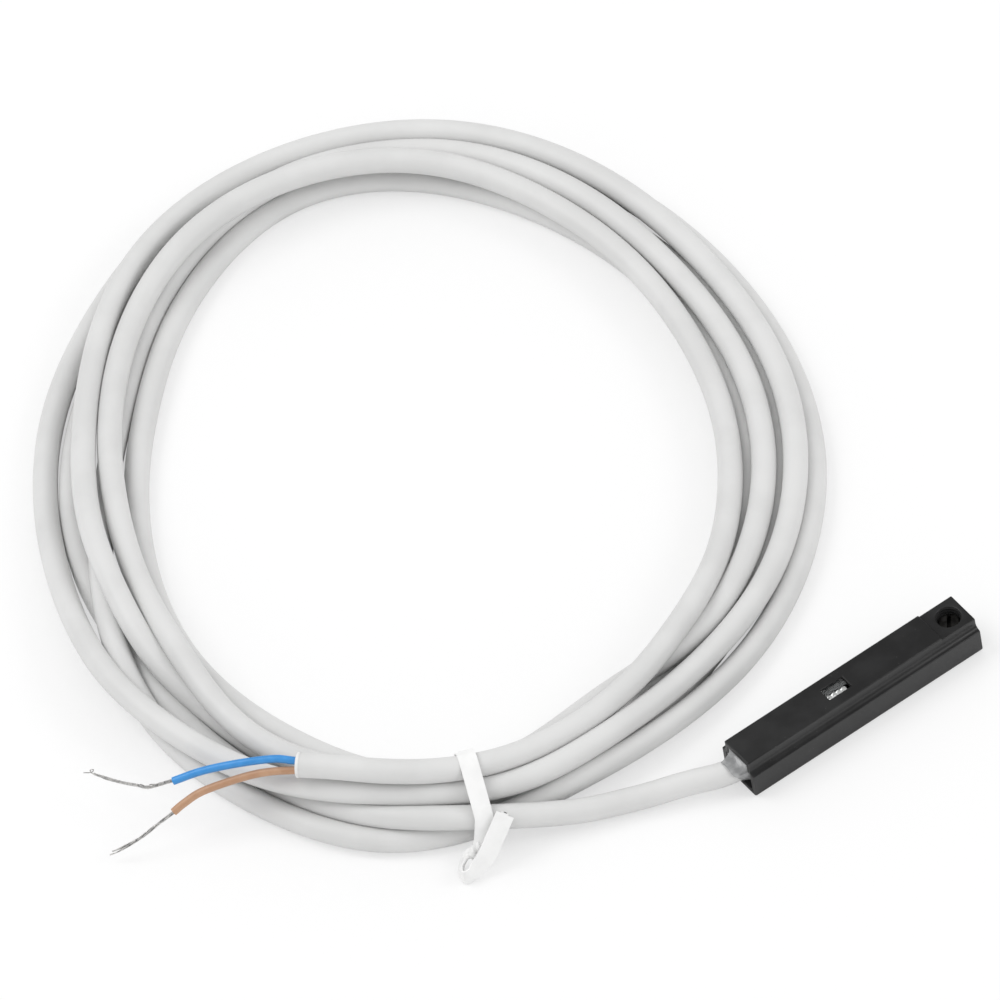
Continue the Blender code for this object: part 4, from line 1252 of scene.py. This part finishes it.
@dataclass
class Window:
    """Window over the lamp: clear pane with light pipe, silver strip of painted glints, black plate of
    painted shade.
    """

    bench: Bench
    pane_half: float = 1.45
    pane_near: float = -0.03
    pane_far: float = 0.825
    pane_low: float = 4.6
    pane_high: float = CASE_HEIGHT - 0.3
    pane_round: float = 0.08
    pipe_half: float = 0.5
    pipe_near: float = -0.02
    pipe_far: float = 0.18
    pipe_low: float = 2.03
    pipe_high: float = 4.61
    strip_start: float = 1.42
    strip_length: float = 2.5
    strip_low: float = 4.1
    facet_heights: tuple[float, ...] = (4.58, 4.7, 4.6, 4.74, 4.62, 4.72, 4.58, 4.7, 4.62)
    facet_lean: float = 0.05
    # Black plate under the pane's far half that paints the shade there
    painted_shade_near: float = 0.2
    painted_shade_far: float = 0.82
    painted_shade_high: float = 4.45

    def make(self) -> None:
        """Build the pane with its light pipe, the strip of painted glints and the plate of painted shade."""
        left, right = WINDOW_X - self.pane_half, WINDOW_X + self.pane_half
        bm = block((left, self.pane_near, self.pane_low), (right, self.pane_far, self.pane_high))
        rim = [edge for edge in bm.edges if all(vert.co.z > self.pane_high - 0.01 for vert in edge.verts)]
        bmesh.ops.bevel(
            bm, geom=rim, offset=self.pane_round, segments=3, profile=0.5, affect="EDGES", material=-1,
        )
        block(
            (WINDOW_X - self.pipe_half, self.pipe_near, self.pipe_low),
            (WINDOW_X + self.pipe_half, self.pipe_far, self.pipe_high), bm,
        )
        self.bench.shape("window_pane", bm, LENS, Slot.CLEAR_RESIN, "window_lens", crease=30.0)
        self.make_strip()
        # A black plate under the pane's far half paints the shade there
        painted_shade = block(
            (left + 0.01, self.painted_shade_near, self.strip_low), (right - 0.01, self.painted_shade_far, self.painted_shade_high),
        )
        self.bench.shape("window_painted_shade", painted_shade, CHIP, Slot.CLEAR_RESIN)

    def make_strip(self) -> None:
        """Build the faceted strip, its cells tipped this way and that, in silver that paints the facets'
        glints.
        """
        rows = []
        for index, top in enumerate(self.facet_heights):
            share = index / (len(self.facet_heights) - 1)
            x = WINDOW_X - self.strip_start + self.strip_length * share
            lean = self.facet_lean if index % 2 else -self.facet_lean
            rows.append([
                (x, -0.8, self.strip_low), (x, -0.8, top), (x + lean, -0.55, top - lean),
                (x - lean, -0.3, top + lean), (x, -0.06, top - 0.04), (x, -0.06, self.strip_low),
            ])
        bm = skin(rows, close_ends=True)
        bmesh.ops.triangulate(bm, faces=bm.faces)
        self.bench.shape("window_glint_strip", bm, GLINT_SILVER, Slot.CLEAR_RESIN, crease=5.0)


@dataclass
class ResinPlug:
    """Potting resin round the lead, drawn out along it and sunk in one lower corner."""

    bench: Bench
    wall: tuple[Spot, ...] = ((2.05, 0.7), (2.05, 3.2), (1.6, 3.2), (1.6, 4.3))
    inner_radius: float = 1.43
    front: float = -13.2
    drawn_out: float = 1.6
    steps: int = 16
    sides: int = 72
    sunk_depth: float = 1.1
    sunk_angle: float = math.radians(140.0)
    sunk_from: float = -14.0

    def make(self) -> None:
        """Build the plug, outwards along the wall, then in along its face to the lead and back."""
        outer = self._even(mirrored(list(self.wall)))
        rows = [self._ring(outer, 1.0, self.front)]
        for step in range(self.steps + 1):
            share = step / self.steps
            rows.append(self._ring(outer, 1.0 - share, CASE_REAR + 0.06 - self.drawn_out * share**2.2))
        rows.append(self._ring(outer, 0.0, self.front))
        bm = skin([*rows, rows[0]])
        bmesh.ops.remove_doubles(bm, verts=bm.verts, dist=MERGE)
        self.bench.shape("resin_plug", bm, RESIN, Slot.GREY_RESIN, "end_seal", crease=50.0)

    def _even(self, outline: list[Spot]) -> list[Spot]:
        """Share points evenly round a closed outline.

        Args:
            outline: Its corners.

        Returns:
            As many points as the plug has sides.
        """
        closed = np.array([*outline, outline[0]])
        walked = distances(closed)
        steps = np.linspace(0.0, walked[-1], self.sides, endpoint=False)
        return list(zip(np.interp(steps, walked, closed[:, 0]), np.interp(steps, walked, closed[:, 1])))

    def _ring(self, outer: list[Spot], share: float, x: float) -> list[Point]:
        """Make a ring between the lead and the wall.

        Args:
            outer: Points on the wall.
            share: 1 at the wall, 0 at the lead.
            x: Where the ring lies along the lead.

        Returns:
            The ring's points.
        """
        points = []
        drift = max(0.0, CASE_REAR - x) / self.drawn_out
        for across, up in outer:
            angle = math.atan2(up - LEAD_HEIGHT, across)
            near = (
                self.inner_radius * math.cos(angle) + 0.15 * drift,
                LEAD_HEIGHT + self.inner_radius * math.sin(angle) - 0.05 * drift,
            )
            sunk = 0.0
            if x < self.sunk_from:
                sunk = max(0.0, math.cos(angle + self.sunk_angle)) ** 2 * self.sunk_depth
            points.append((x + sunk, near[0] + (across - near[0]) * share, near[1] + (up - near[1]) * share))
        return points


@dataclass
class TwistTie:
    """Flat white tie round the bundle, twisted in front of it, with one end standing up."""

    bench: Bench
    lead: Lead
    half_width: float = 1.03
    wing: float = 0.1
    rib: float = 0.42
    clearance: float = 0.02
    wrap_start: float = -160.0
    wrap_step: float = 6.0
    wrap_steps: int = 52
    wrap_spacing: float = 0.5
    twist_steps: int = 24
    twist_angle: float = 7.5

    def make(self) -> None:
        """Build the wrapped band, the folded tail, the twist and the wire's end."""
        band, normals = self.wrap()
        widths = np.interp(np.arange(len(band)), [0, 4, len(band) - 7, len(band) - 1], [0.4, 1.0, 1.0, 0.4])
        self.ribbon("tie_band", band, normals, widths, "twist_tie")
        tail, fronts = from_viewer(TIE_TAIL_ROUTE), from_viewer(TIE_TAIL_FRONTS)
        self.ribbon("tie_tail", tail, fronts, np.array(TIE_TAIL_WIDTHS))
        self.make_twist()
        ahead = Vector(tail[-1] - tail[-2]).normalized()
        front = Vector(fronts[-1])
        front = (front - ahead * front.dot(ahead)).normalized()
        ends = (("tie_rib_end", 0.44, 0.12, TIE), ("tie_wire_end", 0.2, 0.17, CHIP))
        for name, radius, past, finish in ends:
            line = [Vector(tail[-1]) - front * 0.36 + ahead * reach for reach in (-0.9, past)]
            self.bench.tube(name, np.array(line), radius, finish, Slot.WHITE_TIE, fine=4)

    def make_twist(self) -> None:
        """Twist the two ends round each other between the bundle and the fold."""
        start, end = (Vector(point) for point in from_viewer(TIE_TWIST_ENDS))
        ahead = (end - start).normalized()
        side = ahead.cross(Vector((0.0, 0.0, 1.0))).normalized()
        rise = side.cross(ahead)
        rows = []
        for step in range(self.twist_steps + 1):
            share = step / self.twist_steps
            size = 0.7 + 0.3 * math.sin(math.pi * share)
            row = []
            for index in range(self.twist_steps):
                angle = math.tau * index / self.twist_steps
                radius = size * (0.34 + 0.4 * math.cos(angle - share * self.twist_angle) ** 2)
                spot = start.lerp(end, share) + side * radius * math.cos(angle)
                row.append(tuple(spot + rise * radius * math.sin(angle)))
            rows.append(row)
        self.bench.shape("tie_twist", skin(rows, close_ends=True), TIE, Slot.WHITE_TIE, crease=50.0)

    def wrap(self) -> tuple[np.ndarray, np.ndarray]:
        """Lay the band round the strands that pass through it.

        Returns:
            The band's path, and the way its front faces at each point.
        """
        middle = from_viewer((TIE_MIDDLE,))[0]
        along = from_viewer((TIE_BUNDLE_DIRECTION,))[0]
        along /= np.linalg.norm(along)
        out = np.array([along[1], -along[0], 0.0])
        route = self.lead.route
        side = (route - middle) @ along
        spots = np.array([
            ((route[index] - middle) @ out, route[index][2])
            for index in np.flatnonzero(side[:-1] * side[1:] <= 0)
            if abs((route[index] - middle) @ out) < TIE_REACH
        ])
        LOG.info("tie goes round %d strands", len(spots))
        reach = LEAD_RADIUS + self.rib + self.clearance
        path, normals = [], []
        for step in range(self.wrap_steps):
            angle = math.radians(self.wrap_start + self.wrap_step * step)
            normal = np.array([-math.cos(angle), math.sin(angle)])
            place = spots[np.argmax(spots @ normal)] + normal * reach
            place[1] = max(place[1], self.rib + self.clearance)
            path.append(middle * (1, 1, 0) + out * place[0] + np.array([0, 0, place[1]]))
            normals.append(out * normal[0] + np.array([0, 0, normal[1]]))
        path = np.vstack([path, from_viewer(TIE_KNOT_ROUTE)])
        normals = np.vstack([normals, from_viewer(TIE_KNOT_FRONTS)])
        walked = distances(path)
        steps = np.linspace(0.0, walked[-1], round(walked[-1] / self.wrap_spacing))
        both = np.column_stack([np.interp(steps, walked, column) for column in (*path.T, *normals.T)])
        for _ in range(3):
            both[1:-1] = (both[:-2] + 2 * both[1:-1] + both[2:]) / 4
        return both[:, :3], both[:, 3:]

    def section(self, width: float) -> list[Spot]:
        """Draw the band's section, smooth in front and with its rib behind.

        Args:
            width: Half the band's width here.

        Returns:
            Points across the band and out of its front.
        """
        rib = min(0.42, width * 0.6)
        half = [
            (width, self.wing), (width, -self.wing), (rib, -self.wing), (rib * 0.75, -0.75 * self.rib),
            (rib * 0.3, -self.rib),
        ]
        front = self.wing + 0.05
        return mirrored(half) + [(-width * 0.5, front), (width * 0.5, front)]

    def ribbon(
        self, name: str, path: np.ndarray, normals: np.ndarray, widths: np.ndarray, *nodes: str
    ) -> None:
        """Sweep the band's section along a path.

        Args:
            name: The piece's name.
            path: Points of the band's middle.
            normals: The way its front faces at each point.
            widths: Share of the full width at each point.
            nodes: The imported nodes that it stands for.
        """
        line = smooth_line(path, 0.25)
        walked = distances(path)
        share = np.linspace(0.0, walked[-1], len(line))
        columns = [np.interp(share, walked, column) for column in (*normals.T, widths)]
        rows = []
        for index, point in enumerate(line):
            ahead = Vector(line[min(index + 1, len(line) - 1)] - line[max(index - 1, 0)]).normalized()
            front = Vector([column[index] for column in columns[:3]])
            front = (front - ahead * front.dot(ahead)).normalized()
            side = ahead.cross(front)
            row = []
            for across, out in self.section(self.half_width * columns[3][index]):
                x, y, z = Vector(point) + side * across + front * out
                row.append((x, y, max(z, self.clearance)))
            rows.append(row)
        self.bench.shape(name, skin(rows, close_ends=True), TIE, Slot.WHITE_TIE, *nodes, crease=50.0)


@dataclass
class Insides:
    """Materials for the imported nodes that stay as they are."""

    bench: Bench
    finishes: dict[str, Finish] = field(default_factory=lambda: {
        "circuit_board": BOARD, "indicator_led": LAMP, "resistor": CHIP, "zener_diode": CHIP,
        "reed_glass": GLASS, "reed_lead_front": NICKEL, "reed_lead_rear": NICKEL,
        "reed_blade_front": NICKEL, "reed_blade_rear": NICKEL,
        "solder_front": SOLDER, "solder_rear": SOLDER, "solder_brown": SOLDER, "solder_blue": SOLDER,
        "brown_inner_core": BROWN, "blue_inner_core": BLUE,
    })

    def make(self) -> None:
        """Give each node its material."""
        for name, finish in self.finishes.items():
            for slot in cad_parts[name].material_slots:
                slot.material = self.bench.paint.material(finish)
            LOG.info("node %s is %s", name, finish.name)


def main() -> None:
    """Build the scene."""
    bench, studio = Bench(), StudioView()
    studio.make_camera()
    lead = Lead(bench, studio.towards_camera())
    lead.make()
    studio.make_light()
    studio.make_floor()
    CaseShell(bench).make()
    SetScrew(bench).make()
    Window(bench).make()
    ResinPlug(bench).make()
    TwistTie(bench, lead).make()
    Insides(bench).make()


if __name__ == "__main__":
    logging.basicConfig(level=logging.INFO, format="%(message)s")
    main()
